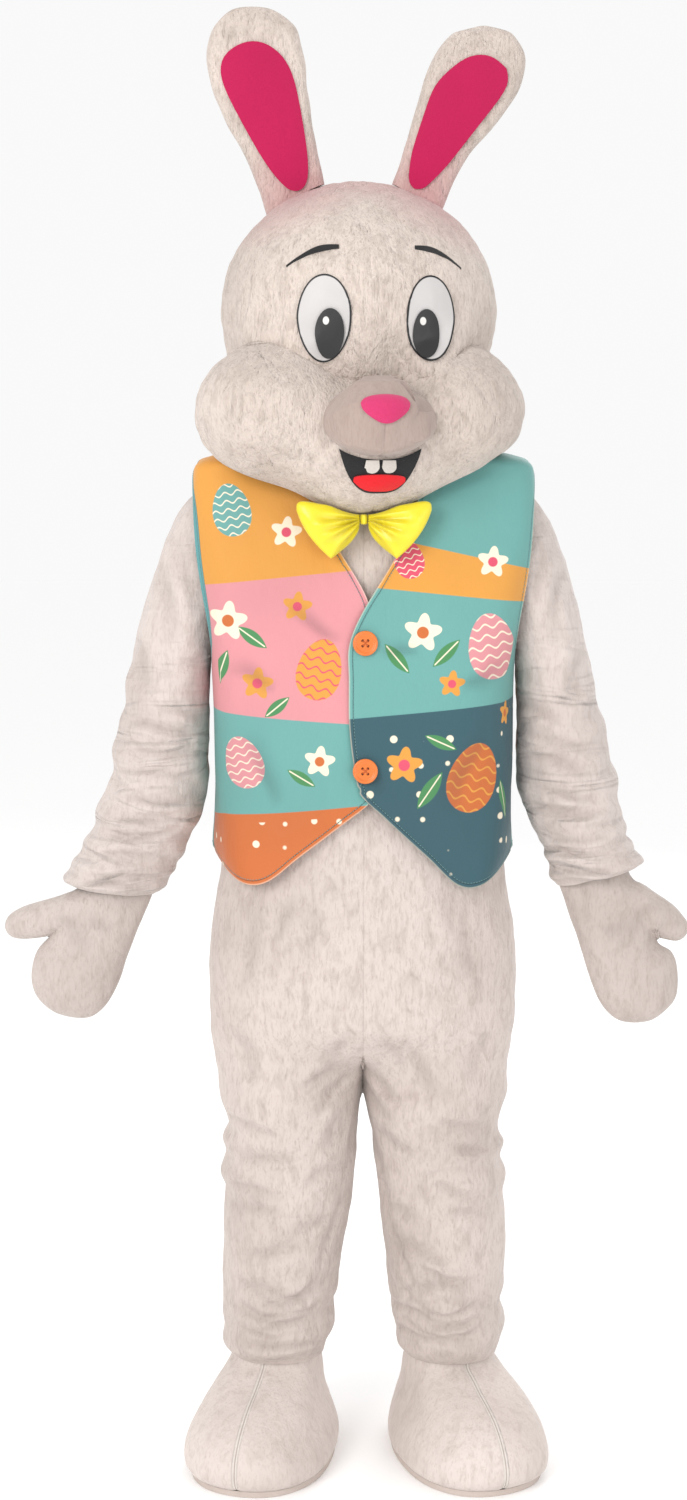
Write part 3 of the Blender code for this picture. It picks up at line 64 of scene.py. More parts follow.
# Each crease: x and height of its two ends, then its width, depth and bow in millimetres.
LEG_CREASES = (
    (-0.089, 0.556, -0.014, 0.592, 9, 3.5, 6), (-0.074, 0.513, -0.014, 0.573, 9, 3, 5),
    (-0.059, 0.462, -0.018, 0.535, 10, 2.5, 4), (-0.004, 0.588, 0.058, 0.535, 9, 3.5, -6),
    (-0.002, 0.564, 0.05, 0.499, 9, 3, -5), (0.013, 0.499, 0.074, 0.458, 10, 2.5, -4),
    (-0.196, 0.507, -0.113, 0.49, 9, 4, 4), (-0.192, 0.458, -0.092, 0.462, 9, 4, -5),
    (-0.195, 0.414, -0.107, 0.399, 8, 3.5, 4), (-0.19, 0.373, -0.113, 0.381, 9, 2.5, 3),
    (0.105, 0.515, 0.178, 0.49, 9, 4, 4), (0.113, 0.473, 0.178, 0.458, 8, 4.5, 4),
    (0.099, 0.425, 0.176, 0.399, 9, 4, -5), (0.111, 0.381, 0.175, 0.366, 9, 2.5, 4),
    (-0.086, 0.418, -0.025, 0.44, 10, 2.5, 6), (-0.113, 0.329, -0.045, 0.366, 10, 3, 7),
    (-0.175, 0.307, -0.072, 0.333, 10, 3, 6), (0.036, 0.325, 0.122, 0.293, 9, 5, 8),
    (0.084, 0.299, 0.169, 0.266, 9, 5, -7), (0.043, 0.244, 0.169, 0.277, 9, 3.5, 8),
    (0.033, 0.381, 0.084, 0.359, 10, 2.5, 5), (-0.188, 0.266, -0.086, 0.247, 8, 4, 6),
    (-0.141, 0.24, -0.053, 0.266, 8, 4, -5), (-0.19, 0.223, -0.113, 0.21, 7, 4, 4),
    (-0.154, 0.199, -0.055, 0.221, 7, 4, 5), (-0.188, 0.186, -0.059, 0.176, 7, 3.5, -5),
    (0.036, 0.225, 0.118, 0.211, 8, 4, 5), (0.077, 0.202, 0.169, 0.219, 7, 4, -5),
    (0.041, 0.189, 0.167, 0.181, 7, 3.5, 5),
    (-0.003, 0.579, -0.032, 0.415, 5, 2.2, 6), (-0.032, 0.415, -0.075, 0.266, 5, 2.6, 9),
    (0.006, 0.554, 0.040, 0.369, 5, 2.2, -6), (0.038, 0.380, 0.098, 0.228, 5, 2.8, -10),
    (-0.182, 0.283, -0.118, 0.247, 5, 3.0, -8), (-0.120, 0.247, -0.060, 0.283, 5, 2.6, -8),
    (-0.184, 0.240, -0.100, 0.228, 5, 3.2, -9), (-0.112, 0.229, -0.052, 0.243, 4.5, 2.4, -5),
    (-0.093, 0.262, -0.083, 0.232, 4.5, 2.6, 3), (-0.175, 0.205, -0.112, 0.196, 4.5, 2.4, -5),
    (0.050, 0.262, 0.120, 0.222, 5, 3.0, -7), (0.100, 0.226, 0.172, 0.246, 5, 2.8, -6),
    (0.052, 0.214, 0.112, 0.192, 4.5, 2.8, -5), (0.122, 0.196, 0.170, 0.207, 4.5, 2.4, -4),
)
HIP_CREASES = (
    (-0.150, 0.850, -0.175, 0.690, 11, 1.2, 8), (-0.088, 0.840, -0.118, 0.770, 9, 1.4, -6),
    (-0.070, 0.835, -0.082, 0.750, 8, 1.2, 5), (0.140, 0.830, 0.166, 0.690, 11, 1.2, -8),
    (0.108, 0.845, 0.118, 0.780, 9, 1.2, 5), (-0.010, 0.655, -0.052, 0.560, 11, 1.8, -8),
    (0.012, 0.648, 0.056, 0.575, 11, 1.6, 8), (0.060, 0.640, 0.118, 0.545, 13, 1.6, -8),
    (-0.190, 0.650, -0.150, 0.560, 12, 1.8, 6), (0.182, 0.640, 0.150, 0.560, 12, 1.8, -6),
)
# How crumpled the legs are: heights, then the share at each.
LEG_CRUMPLE = (
    (0.12, 0.20, 0.30, 0.36, 0.43, 0.50, 0.56, 0.75, 0.85, 1.0),
    (1.0, 0.9, 0.45, 0.6, 0.8, 0.6, 0.35, 0.3, 0.5, 0.2),
)


def linear(code):
    """An sRGB hex value as the linear colour that a shader works in."""
    shares = (int(code[k:k + 2], 16) / 255 for k in (1, 3, 5))
    return tuple(s / 12.92 if s <= 0.04045 else ((s + 0.055) / 1.055) ** 2.4 for s in shares)


def shaded(code, share):
    return tuple(c * share for c in linear(code))


def add_node(tree, kind, inputs=(), **settings):
    """Adds a node to a tree: its settings, then each input as a value or, from another node's socket, a
    link."""
    node = tree.nodes.new(kind)
    for key, value in settings.items():
        setattr(node, key, value)
    for key, value in dict(inputs).items():
        if isinstance(value, bpy.types.NodeSocket):
            tree.links.new(value, node.inputs[key])
        else:
            node.inputs[key].default_value = value
    return node


class Field:
    """A number that differs from place to place on a surface, worked out by shader nodes."""

    def __init__(self, tree, socket):
        self.tree = tree
        self.socket = socket

    def math(self, operation, *others, clamp=False):
        values = [v.socket if isinstance(v, Field) else v for v in (self, *others)]
        node = add_node(self.tree, "ShaderNodeMath", enumerate(values), operation=operation, use_clamp=clamp)
        return Field(self.tree, node.outputs[0])

    def __add__(self, other):
        return self.math("ADD", other)

    def __sub__(self, other):
        return self.math("SUBTRACT", other)

    def __mul__(self, other):
        return self.math("MULTIPLY", other)

    def size(self):
        return self.math("ABSOLUTE")

    def held(self):
        """Itself, but never under 0 or over 1."""
        return self.math("ADD", 0.0, clamp=True)

    def between(self, low, high):
        """0 where this is under low, 1 where it is over high, and rising in between."""
        return ((self - low) * (1 / (high - low))).held()

    def under(self, other, soft):
        """1 where this is under other, 0 where it is over, and soft in between."""
        if isinstance(other, Field):
            return ((other - self) * (1 / soft)).math("ADD", 0.5, clamp=True)
        return (self * (-1 / soft)).math("ADD", other / soft + 0.5, clamp=True)

    def both(self, other):
        return self.math("MINIMUM", other)

    def without(self, other):
        return self.math("SUBTRACT", other, clamp=True)


class Finish:
    """A material: its shader, a colour that grows as masks are laid on it, and its bumps. reads names the
    numbers that the pieces store at their points, such as seam, the distance from a seam in millimetres."""

    def __init__(self, name, colour, roughness, settings=(), reads=()):
        self.material = bpy.data.materials.new(name)
        self.material.use_nodes = True
        self.tree = self.material.node_tree
        self.shader = self.tree.nodes["Principled BSDF"]
        for key, value in {"Roughness": roughness, **dict(settings)}.items():
            self.shader.inputs[key].default_value = value
        self.colour = (*linear(colour), 1)
        self.normal = None
        self.where = add_node(self.tree, "ShaderNodeTexCoord").outputs["Object"]
        parts = add_node(self.tree, "ShaderNodeSeparateXYZ", {"Vector": self.where}).outputs
        self.x, self.y, self.z = (Field(self.tree, parts[k]) for k in range(3))
        self.up = self.z - FLOOR
        for key in reads:
            node = add_node(self.tree, "ShaderNodeAttribute", attribute_name=key)
            setattr(self, key, Field(self.tree, node.outputs["Fac"]))

    def grain(self, sizes, detail=2, rough=0.5, warp=0.0):
        """A cloudy pattern. sizes is how far apart its grains lie in millimetres: one number, or x, y and
        z."""
        sizes = sizes if isinstance(sizes, tuple) else (sizes,) * 3
        scale = [1000 / s for s in sizes]
        at = add_node(self.tree, "ShaderNodeMapping", {"Vector": self.where, "Scale": scale}).outputs[0]
        noise = add_node(self.tree, "ShaderNodeTexNoise", {
            "Vector": at, "Scale": 1.0, "Detail": detail, "Roughness": rough, "Distortion": warp,
        })
        return Field(self.tree, noise.outputs["Fac"])

    def lay(self, mask, colour):
        """Lays a colour, a hex value or a linear one, where the mask is 1."""
        over = (*(linear(colour) if isinstance(colour, str) else colour), 1)
        inputs = {"Factor": mask.socket, 6: self.colour, 7: over}
        self.colour = add_node(self.tree, "ShaderNodeMix", inputs, data_type="RGBA").outputs[2]

    def bump(self, height, metres):
        inputs = {"Strength": 1.0, "Distance": metres, "Height": height.socket}
        if self.normal:
            inputs["Normal"] = self.normal
        self.normal = add_node(self.tree, "ShaderNodeBump", inputs).outputs[0]

    def done(self):
        self.tree.links.new(self.colour, self.shader.inputs["Base Color"])
        if self.normal:
            self.tree.links.new(self.normal, self.shader.inputs["Normal"])
        return self.material


def plush(name, light, dark, pile, crush, mottled=1.0, seam=0.25, wrinkle=0.0, runs=(), welt=False, blush=()):
    """Polyester plush, knitted, cut and brushed: matt, with a soft sheen where the pile turns away. Its
    strands are drawn 3 mm apart, coarser than the real 0.1 mm, so that they show. In metres, pile is how
    deep the strands look, crush how deep the dents of a worn nap are, and wrinkle how deep the small
    wrinkles of crumpled cloth are, which lie runs millimetres apart; the wrinkles' troughs and the creases'
    bottoms get painted shade. seam says how dark a seam is, welt gives a raised, stitched edge whose rib
    gets a painted highlight, and blush holds the places round which the pile is pinker."""
    sheen = {"Sheen Weight": 0.30, "Sheen Roughness": 0.5, "Sheen Tint": (*linear("#fffcf8"), 1)}
    reads = ["seam", "dip"] + ["crumple"] * bool(wrinkle) + ["edge"] * welt
    s = Finish(name, light, 0.95, {**sheen, "Specular IOR Level": 0.12}, reads)
    strands = s.grain((3.03, 3.03, 13.8), 3, 0.65)
    clumps = s.grain((13.33, 13.33, 29.6), 3, 0.6, 0.6)
    dents = s.grain((38.5, 38.5, 48.1), 3, 0.55, 1.1)
    # Darker clouds, clumps and strands: the pile's tone is uneven, and the clumps and strands also carry
    # painted shade of the nap between them.
    s.lay(s.grain(200).between(0.42, 0.75) * (0.38 * mottled), dark)
    s.lay(clumps.between(0.47, 0.76) * (0.44 * mottled), dark)
    s.lay(strands.between(0.50, 0.76) * (0.50 * mottled), dark)
    if wrinkle:
        ridges = (s.grain(runs, 2, 0.45, 0.8) - 0.5).size() * 5.5
        lines = (ridges * -1 + 1).held() * s.crumple
        # Painted shade: the troughs of the small wrinkles are darkened as well as sunk.
        s.lay(lines * 0.10, dark)
        s.bump(lines * -1, wrinkle)
    for x, y, height in blush:
        a, b, c = s.x - x, s.y - y, s.up - height
        near = (a * a + b * b + c * c).math("SQRT") * (-1 / BLUSH_REACH) + 1
        s.lay(near.held() * 0.75, BLUSH)
    # Painted shade: the bottoms of the creases are darkened, the deeper troughs more.
    s.lay(s.dip * 0.26, shaded(dark, 0.66))
    s.lay(s.seam.under(0.9, 1.2) * seam, shaded(dark, 0.5))
    if welt:
        rib = s.seam.under(3.6, 2.0)
        # Painted highlight: the raised rib beside the seam is lightened, all but its foot at the seam.
        s.lay(rib.without(s.seam.under(1.0, 1.0)) * 0.45, tuple(min(c * 1.18, 0.71) for c in linear(light)))
        s.lay((s.edge - 4.5).size().under(0.5, 0.8) * 0.40, shaded(dark, 0.7))
        s.bump(rib, 0.0016)
    s.bump(dents, crush)
    s.bump(clumps, crush * 0.5)
    s.bump(strands, pile)
    return s.done()


def height_of(p):
    return p[2] - FLOOR


def body_middle(p):
    """The middle line of the suit and the vest: one down the trunk and one down each leg."""
    return Vector((0 if height_of(p) > 0.74 else math.copysign(0.126, p[0]), 0, p[2]))


def outer_skin(nodes, thickness, middle, bend):
    """The nodes' outer faces in one mesh, welded along their seams. A face's material number says its node.
    bend says how sharply neighbouring faces may turn and still be one wall."""
    whole = bmesh.new()
    for number, name in enumerate(nodes):
        part = bmesh.new()
        part.from_mesh(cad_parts[name].data)
        bmesh.ops.remove_doubles(part, verts=part.verts, dist=WELD)
        part.normal_update()
        tree = BVHTree.FromBMesh(part)
        thin = set()
        for f in part.faces:
            c = f.calc_center_median()
            away = tree.ray_cast(c - f.normal * WELD, -f.normal, 0.2)[3]
            if away is not None and away < thickness * 1.9:
                thin.add(f)
        best, keep = 0.0, set()
        while thin:
            group, edge = set(), [thin.pop()]
            while edge:
                f = edge.pop()
                group.add(f)
                for e in f.edges:
                    for g in e.link_faces:
                        if g in thin and f.normal.dot(g.normal) > bend:
                            thin.discard(g)
                            edge.append(g)
            out = 0.0
            for f in group:
                c = f.calc_center_median()
                out += f.calc_area() * (1 if f.normal.dot(c - middle(c)) > 0 else -1)
            if out > best:
                best, keep = out, group
        made = {}
        for f in part.faces:  # in the solid's own order, so that each run gives the same mesh
            if f not in keep:
                continue
            corners = []
            for v in f.verts:
                if v not in made:
                    made[v] = whole.verts.new(v.co)
                corners.append(made[v])
            whole.faces.new(corners).material_index = number
        part.free()
    edge = [v for v in whole.verts if v.is_boundary]
    bmesh.ops.remove_doubles(whole, verts=edge, dist=SEAM_WELD)
    whole.normal_update()
    bmesh.ops.join_triangles(
        whole, faces=whole.faces[:], cmp_materials=True,
        angle_face_threshold=math.radians(75), angle_shape_threshold=math.radians(85),
    )
    return whole


def refined(bm, levels, creased=False, rounds=3):
    """The mesh as a fine subdivision surface that still passes through its own points: points, faces,
    numbers."""
    mesh = bpy.data.meshes.new("control")
    bm.to_mesh(mesh)
    bm.free()
    o = bpy.data.objects.new("control", mesh)
    bpy.context.scene.collection.objects.link(o)
    if creased:
        crease = mesh.attributes.new("crease_edge", "FLOAT", "EDGE")
        sharp = np.zeros(len(mesh.edges), dtype=np.float32)
        normals = {}
        for p in mesh.polygons:
            for key in p.edge_keys:
                normals.setdefault(key, []).append(p.normal.copy())
        for n, e in enumerate(mesh.edges):
            two = normals.get(tuple(sorted(e.vertices)), [])
            if len(two) == 2 and two[0].dot(two[1]) < math.cos(math.radians(50)):
                sharp[n] = 1.0
        crease.data.foreach_set("value", sharp)
    modifier = o.modifiers.new("smooth", "SUBSURF")
    modifier.levels = levels
    count = len(mesh.vertices)
    wanted = np.array([v.co for v in mesh.vertices])
    control = wanted.copy()
    for n in range(rounds + 1):
        mesh.vertices.foreach_set("co", control.ravel())
        mesh.update()
        bpy.context.view_layer.update()
        seen = o.evaluated_get(bpy.context.evaluated_depsgraph_get()).data
        if n < rounds:
            now = np.array([seen.vertices[k].co for k in range(count)])
            control = control + (wanted - now) * 0.9
    points = np.empty(len(seen.vertices) * 3)
    seen.vertices.foreach_get("co", points)
    points = points.reshape(-1, 3)
    faces = [tuple(p.vertices) for p in seen.polygons]
    numbers = [p.material_index for p in seen.polygons]
    bpy.data.objects.remove(o)
    bpy.data.meshes.remove(mesh)
    return points, faces, numbers


def normals_of(points, faces):
    quads = np.array([f if len(f) == 4 else (*f, f[-1]) for f in faces])
    a, b, c, d = (points[quads[:, k]] for k in range(4))
    across = np.cross(c - a, d - b)
    total = np.zeros_like(points)
    for k in range(4):
        np.add.at(total, quads[:, k], across)
    return total / np.maximum(np.linalg.norm(total, axis=1, keepdims=True), 1e-12)


def rim_points(faces, numbers, free):
    """The points on the mesh's free edges, or else on the seams between its panels."""
    owners = {}
    for corners, number in zip(faces, numbers):
        for k in range(len(corners)):
            key = tuple(sorted((corners[k], corners[k - 1])))
            owners.setdefault(key, []).append(number)
    found = set()
    for key, panels in owners.items():
        if (free and len(panels) == 1) or (not free and len(set(panels)) > 1):
            found.update(key)
    return found


def distance_to(points, chosen, asked=None):
    """Each point's distance in millimetres from the nearest chosen one, FAR at most."""
    away = np.full(len(points), FAR)
    if chosen:
        tree = KDTree(len(chosen))
        for n, k in enumerate(sorted(chosen)):
            tree.insert(points[k], n)
        tree.balance()
        for n in range(len(points)) if asked is None else asked:
            away[n] = min(tree.find(points[n])[2] * 1000, FAR)
    return away


def distance_to_edge(points, faces, numbers):
    """The same for the nearest free edge of the panel that a point is on."""
    free = rim_points(faces, numbers, True)
    away = np.full(len(points), FAR)
    for number in set(numbers):
        own = sorted({k for f, n in zip(faces, numbers) if n == number for k in f})
        away = np.minimum(away, distance_to(points, free.intersection(own), own))
    return away


def hidden(rows, seed):
    """The same kind of creases for a side that the photograph doesn't show, each a little different."""
    random = np.random.default_rng(seed)
    made = []
    for x0, h0, x1, h1, width, depth, bow in rows:
        a, b, c = random.uniform(-0.010, 0.010, 3)
        side = math.copysign(1, x0 + x1)
        shift = side * abs(a)
        made.append((x0 + shift, h0 + b, x1 + shift, h1 + c, width, depth * random.uniform(0.7, 1.1), -bow))
    return made


def creased(points, normals, rows, back):
    """How far each point moves out, in metres, and how deep in a trough it lies, from 0 to 1."""
    move, dip = np.zeros(len(points)), np.zeros(len(points))
    facing = np.clip(normals[:, 1] * (3.0 if back else -3.0) + 0.1, 0, 1)
    x, height = points[:, 0], points[:, 2] - FLOOR
    for n, (x0, h0, x1, h1, width, depth, bow) in enumerate(rows):
        if n % 2:
            x0, h0, x1, h1, bow = x1, h1, x0, h0, -bow
        long = math.hypot(x1 - x0, h1 - h0)
        ux, uh = (x1 - x0) / long, (h1 - h0) / long
        t = np.clip(((x - x0) * ux + (height - h0) * uh) / long, 0, 1)
        wander = bow * 0.004 * t * (1 - t) + 0.0018 * np.sin(7.5 * t + n * 2.1)
        d = ((height - h0) * ux - (x - x0) * uh - wander) / (width / 1000 * (0.65 + 0.55 * t))
        taper = np.sin(math.pi * t ** 0.8) ** 0.8 * facing
        trough = np.where(d > 0, np.exp(-(d * 1.35) ** 2), np.exp(-(d * 0.8) ** 2))
        crest = 0.55 * np.exp(-(((d - 1.5) / 0.7) ** 2)) + 0.3 * np.exp(-(((d + 2.1) / 0.9) ** 2))
        move += taper * depth / 1000 * (crest - trough)
        dip = np.maximum(dip, taper * trough)
    return move, dip


def waves(points, size, seed):
    """Smooth uneven numbers from -1 to 1 over the points, about size metres from crest to crest."""
    random = np.random.default_rng(seed)
    total = np.zeros(len(points))
    for _ in range(14):
        way = random.normal(size=3)
        way *= 2 * math.pi / (size * random.uniform(0.7, 1.5) * np.linalg.norm(way))
        total += np.sin(points @ way + random.uniform(0, 2 * math.pi))
    return total / 5


def skin_of(names, wall, middle, front=(), back=(), groove=0.0, uneven=(), bend=0.4, plain=None):
    """A garment's creased outer face, with its stored numbers. front and back hold its creases, groove how
    far its seams sink, uneven the size and height of each run of waves, and plain a place and how far round
    it no seam shows."""
    points, faces, numbers = refined(outer_skin(names, wall, middle, bend), FINE)
    normals = normals_of(points, faces)
    seam = distance_to(points, rim_points(faces, numbers, False))
    if plain:
        seam += FAR * np.clip(1.6 - np.linalg.norm(points - np.array(plain[0]), axis=1) / plain[1], 0, 1)
    edge = distance_to_edge(points, faces, numbers)
    move, dip = creased(points, normals, front, False)
    more, deep = creased(points, normals, back, True)
    move, dip = move + more, np.maximum(dip, deep)
    for n, (size, height) in enumerate(uneven):
        move += waves(points, size, 3 + n) * height * np.minimum(edge / 12, 1)
    move -= groove * np.exp(-((seam / 3.5) ** 2))
    points = points + normals * move[:, None]
    return points, normals_of(points, faces), faces, numbers, {"seam": seam, "edge": edge, "dip": dip}


def piece(name, points, faces, stored):
    """A piece that stands for the node of the same name, with its place in its mesh and numbers at its
    points."""
    mesh = bpy.data.meshes.new(f"{name}_form")
    mesh.from_pydata([tuple(p) for p in points], [], faces)
    mesh.validate()
    mesh.shade_smooth()
    mesh.set_sharp_from_angle(angle=math.radians(60))
    o = bpy.data.objects.new(f"{name}_piece", mesh)
    bpy.context.scene.collection.objects.link(o)
    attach(o, "root")
    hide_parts(name)
    for key, values in stored.items():
        layer = mesh.attributes.new(key, "FLOAT", "POINT")
        layer.data.foreach_set("value", np.asarray(values, dtype=np.float32))
    return o


def dress(o, material):
    o.data.materials.clear()
    o.data.materials.append(material)
    return o


def panels(names, points, normals, faces, numbers, stored, wall):
    """One thin closed piece for each panel of a skin."""
    made = []
    for number, name in enumerate(names):
        own = [f for f, n in zip(faces, numbers) if n == number]
        used = sorted({k for f in own for k in f})
        place = {k: i for i, k in enumerate(used)}
        shift = len(used)
        edges = {(f[k - 1], f[k]) for f in own for k in range(len(f))}
        closed = [[place[k] for k in f] for f in own]
        closed += [[place[k] + shift for k in reversed(f)] for f in own]
        for a, b in sorted(edges):
            if (b, a) not in edges:
                closed.append([place[b], place[a], place[a] + shift, place[b] + shift])
        walls = np.vstack([points[used], points[used] - normals[used] * wall])
        made.append(piece(name, walls, closed, {key: np.tile(v[used], 2) for key, v in stored.items()}))
    return made


def garment(names, wall, middle, crumple=None, **shape):
    """The pieces of one garment. crumple holds heights, and how crumpled the cloth is at each."""
    points, normals, faces, numbers, stored = skin_of(names, wall, middle, **shape)
    if crumple:
        here = np.interp(points[:, 2] - FLOOR, *crumple)
        stored["crumple"] = here * np.minimum(stored["edge"] / 15 + 0.2, 1)
    return panels(names, points, normals, faces, numbers, stored, wall)


SUIT_ENDS = ("front_left", "front_right", "back_left", "back_right")
suit_names = [f"suit_{end}" for end in SUIT_ENDS]
trouser_names = [f"trouser_{end}" for end in SUIT_ENDS]
suit_plush = plush(
    "sheared_suit_plush", PILE_LIGHT, PILE_SHADE, 0.0010, 0.0030, seam=0.16, wrinkle=0.0040,
    runs=(125, 125, 83.3),
)
for o in garment(
    suit_names + trouser_names, SUIT_WALL, body_middle, LEG_CRUMPLE, front=LEG_CREASES + HIP_CREASES,
    back=hidden(LEG_CREASES, 1) + hidden(HIP_CREASES, 2), groove=0.0012,
    uneven=((0.09, 0.0014), (0.035, 0.0007)),
):
    dress(o, suit_plush)


# The sleeves
# Tubes of the same plush, each with one seam under the arm, sewn into the suit's armholes under the vest.
# They are longer than the arm, so they are pushed up in rings from the elbow to the cuff.

SLEEVE_CREASES = (
    (-0.333, 1.07, -0.228, 1.051, 8, 3.5, 5), (-0.336, 1.038, -0.222, 1.023, 8, 4, -5),
    (-0.342, 1.003, -0.228, 0.99, 8, 4, 5), (-0.346, 0.968, -0.242, 0.959, 8, 3.5, -4),
    (-0.358, 0.935, -0.249, 0.93, 8, 3, 5), (-0.368, 0.913, -0.252, 0.92, 8, 4, -5),
    (-0.371, 0.886, -0.27, 0.881, 8, 4, 5), (-0.388, 0.864, -0.277, 0.854, 7, 3.5, -4),
    (-0.396, 0.85, -0.298, 0.835, 7, 3, 4), (-0.284, 1.091, -0.221, 1.07, 8, 2.5, 3),
    (-0.290, 1.300, -0.262, 1.180, 11, 3, 8), (-0.268, 1.330, -0.236, 1.230, 11, 3, 7),
    (-0.322, 1.190, -0.300, 1.110, 10, 2.5, 6),
    (0.214, 1.065, 0.317, 1.032, 8, 3.5, -5), (0.221, 1.026, 0.326, 0.997, 8, 4, 5),
    (0.225, 0.986, 0.33, 0.964, 8, 4, -5), (0.235, 0.95, 0.336, 0.935, 8, 3.5, 5),
    (0.243, 0.917, 0.343, 0.908, 8, 4, -5), (0.25, 0.888, 0.35, 0.884, 8, 4, 5),
    (0.257, 0.862, 0.354, 0.867, 7, 3.5, -4), (0.257, 0.844, 0.343, 0.848, 7, 3, 4),
    (0.207, 1.094, 0.277, 1.07, 8, 2.5, 3), (0.285, 1.290, 0.262, 1.170, 11, 3, -8),
    (0.262, 1.325, 0.236, 1.235, 11, 3, -7), (0.310, 1.180, 0.292, 1.105, 10, 2.5, -6),
)
SLEEVE_CRUMPLE = ((0.84, 1.08, 1.20, 1.40), (1.0, 0.9, 0.35, 0.25))


def arm_middle(p):
    return Vector((math.copysign(0.245 + (1.30 - height_of(p)) * 0.16, p[0]), 0, p[2]))


# The sleeves' light tone is a little paler than the suit's: painted light that brightens the same plush on
# the arms.
sleeve_plush = plush(
    "sheared_sleeve_plush", "#cabfba", PILE_SHADE, 0.0010, 0.0026, mottled=0.7, wrinkle=0.0055,
    runs=(200, 200, 38.5),
)
for name in SIDES:
    for o in garment(
        [f"sleeve_{name}"], SUIT_WALL, arm_middle, SLEEVE_CRUMPLE, front=SLEEVE_CREASES,
        back=hidden(SLEEVE_CREASES, 3), uneven=((0.05, 0.0012), (0.025, 0.0006)),
    ):
        dress(o, sleeve_plush)


# The mittens
# A palm and a back of very short, smooth pile, sewn together round the edge and turned. Each has a thumb
# and one pouch for the fingers, and its open end lies inside the sleeve's.

MITTEN_WALL = 0.003
MITTEN_CREASES = (
    (-0.432, 0.800, -0.384, 0.745, 15, 1.5, 8), (-0.392, 0.800, -0.352, 0.778, 12, 1.2, -5),
    (0.406, 0.812, 0.366, 0.748, 15, 1.5, -8), (0.372, 0.796, 0.335, 0.775, 12, 1.2, 4),
)


def mitten_middle(p):
    return Vector((p[0], -0.047, p[2]))


mitten_plush = plush("close_sheared_mitten_plush", "#bcb1ab", "#93867e", 0.0007, 0.0020, seam=0.35)
for name in SIDES:
    mitten_names = [f"mitten_palm_{name}", f"mitten_back_{name}"]
    for o in garment(
        mitten_names, MITTEN_WALL, mitten_middle, front=MITTEN_CREASES, back=hidden(MITTEN_CREASES, 5),
        groove=0.0018, uneven=((0.05, 0.0009),), bend=0.6,
    ):
        dress(o, mitten_plush)


# The feet and their soles
# Overshoes of plush on foam, two panels each, joined by a raised and stitched seam over the instep and down
# the heel. The soles are pale vinyl, glued on, and the ankles go up inside the trouser legs.

FOOT_WALL = 0.004


def foot_middle(p):
    if height_of(p) > 0.10:
        return Vector((math.copysign(0.126, p[0]), 0, p[2]))
    return Vector((math.copysign(0.140, p[0]), -0.05, p[2]))


def solid(name, levels, material, move=None, ahead=(0, -1, 0)):
    """One closed piece from a solid, with its sharp edges kept. edge holds each point's distance from the
    outline of the face that looks ahead, and move changes the points and the stored numbers."""
    bm = bmesh.new()
    bm.from_mesh(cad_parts[name].data)
    bmesh.ops.remove_doubles(bm, verts=bm.verts, dist=WELD)
    bmesh.ops.join_triangles(
        bm, faces=bm.faces[:], angle_face_threshold=math.radians(40), angle_shape_threshold=math.radians(70),
    )
    points, faces, _ = refined(bm, levels, creased=True)
    normals = normals_of(points, faces)
    ahead = np.array(ahead)
    shown = []
    for f in faces:
        across = np.cross(points[f[1]] - points[f[0]], points[f[2]] - points[f[0]])
        if np.dot(across, ahead) > 0 and np.dot(normals[list(f)].mean(axis=0), ahead) > 0.45:
            shown.append(f)
    outline = rim_points(shown, [0] * len(shown), True)
    flat = np.zeros(len(points))
    stored = {"edge": distance_to(points, outline), "seam": flat + FAR, "dip": flat.copy()}
    if move:
        points = move(points, normals, stored)
    return dress(piece(name, points, faces, stored), material)


shoe_plush = plush("sheared_foot_plush", "#d3c8c2", "#a89a92", 0.0007, 0.0020, seam=0.5, welt=True)
# Vinyl, cast with a pebbled face: matt, with a fine unevenness.
sole = Finish("cast_pale_vinyl", "#c1b4ac", 0.8)
sole.lay(sole.grain(25, 3).between(0.4, 0.7) * 0.4, "#b2a59d")
sole.bump(sole.grain(3.33, 3), 0.0006)
sole_vinyl = sole.done()
for name in SIDES:
    for o in garment(
        [f"foot_outer_{name}", f"foot_inner_{name}"], FOOT_WALL, foot_middle, groove=0.0015,
        uneven=((0.07, 0.0012), (0.03, 0.0005)),
    ):
        dress(o, shoe_plush)
    solid(f"sole_{name}", 3, sole_vinyl, ahead=(0, 0, -1))


# The head
# A shell of carved foam under longer plush: a crown and two jaws with puffed cheeks, glued and sewn along
# seams that sink into the pile. It rests on the wearer's head and stands clear of the vest.

HEAD_WALL = 0.010
BLUSH, BLUSH_REACH = "#c1868b", 0.120
EAR_FEET = ((-0.075, -0.03, 1.775), (0.077, -0.03, 1.775))  # x, y and height
UNDER_MUZZLE = ((0.020, -0.180, 0.075), 0.085)  # where the muzzle covers the seams, and how far round it


def head_middle(p):
    return Vector((-0.006, 0, 0.169))


head_plush = plush(
    "brushed_head_plush", "#d0c3ba", "#95877d", 0.0030, 0.0080, mottled=1.15, seam=0.35, blush=EAR_FEET,
)
for o in garment(
    ["head_crown", "head_jaw_left", "head_jaw_right"], HEAD_WALL, head_middle, groove=0.0016,
    uneven=((0.06, 0.0012), (0.022, 0.0007)), plain=UNDER_MUZZLE,
):
    dress(o, head_plush)


# The ears
# Flat foam shapes covered with the head's plush, with a seam round the edge, and a lining of pink felt
# glued to the front. Their feet go down into the pile of the crown.

EAR_FOOT = 0.020  # how much of an ear's foot is drawn down
EAR_SINK = 0.007


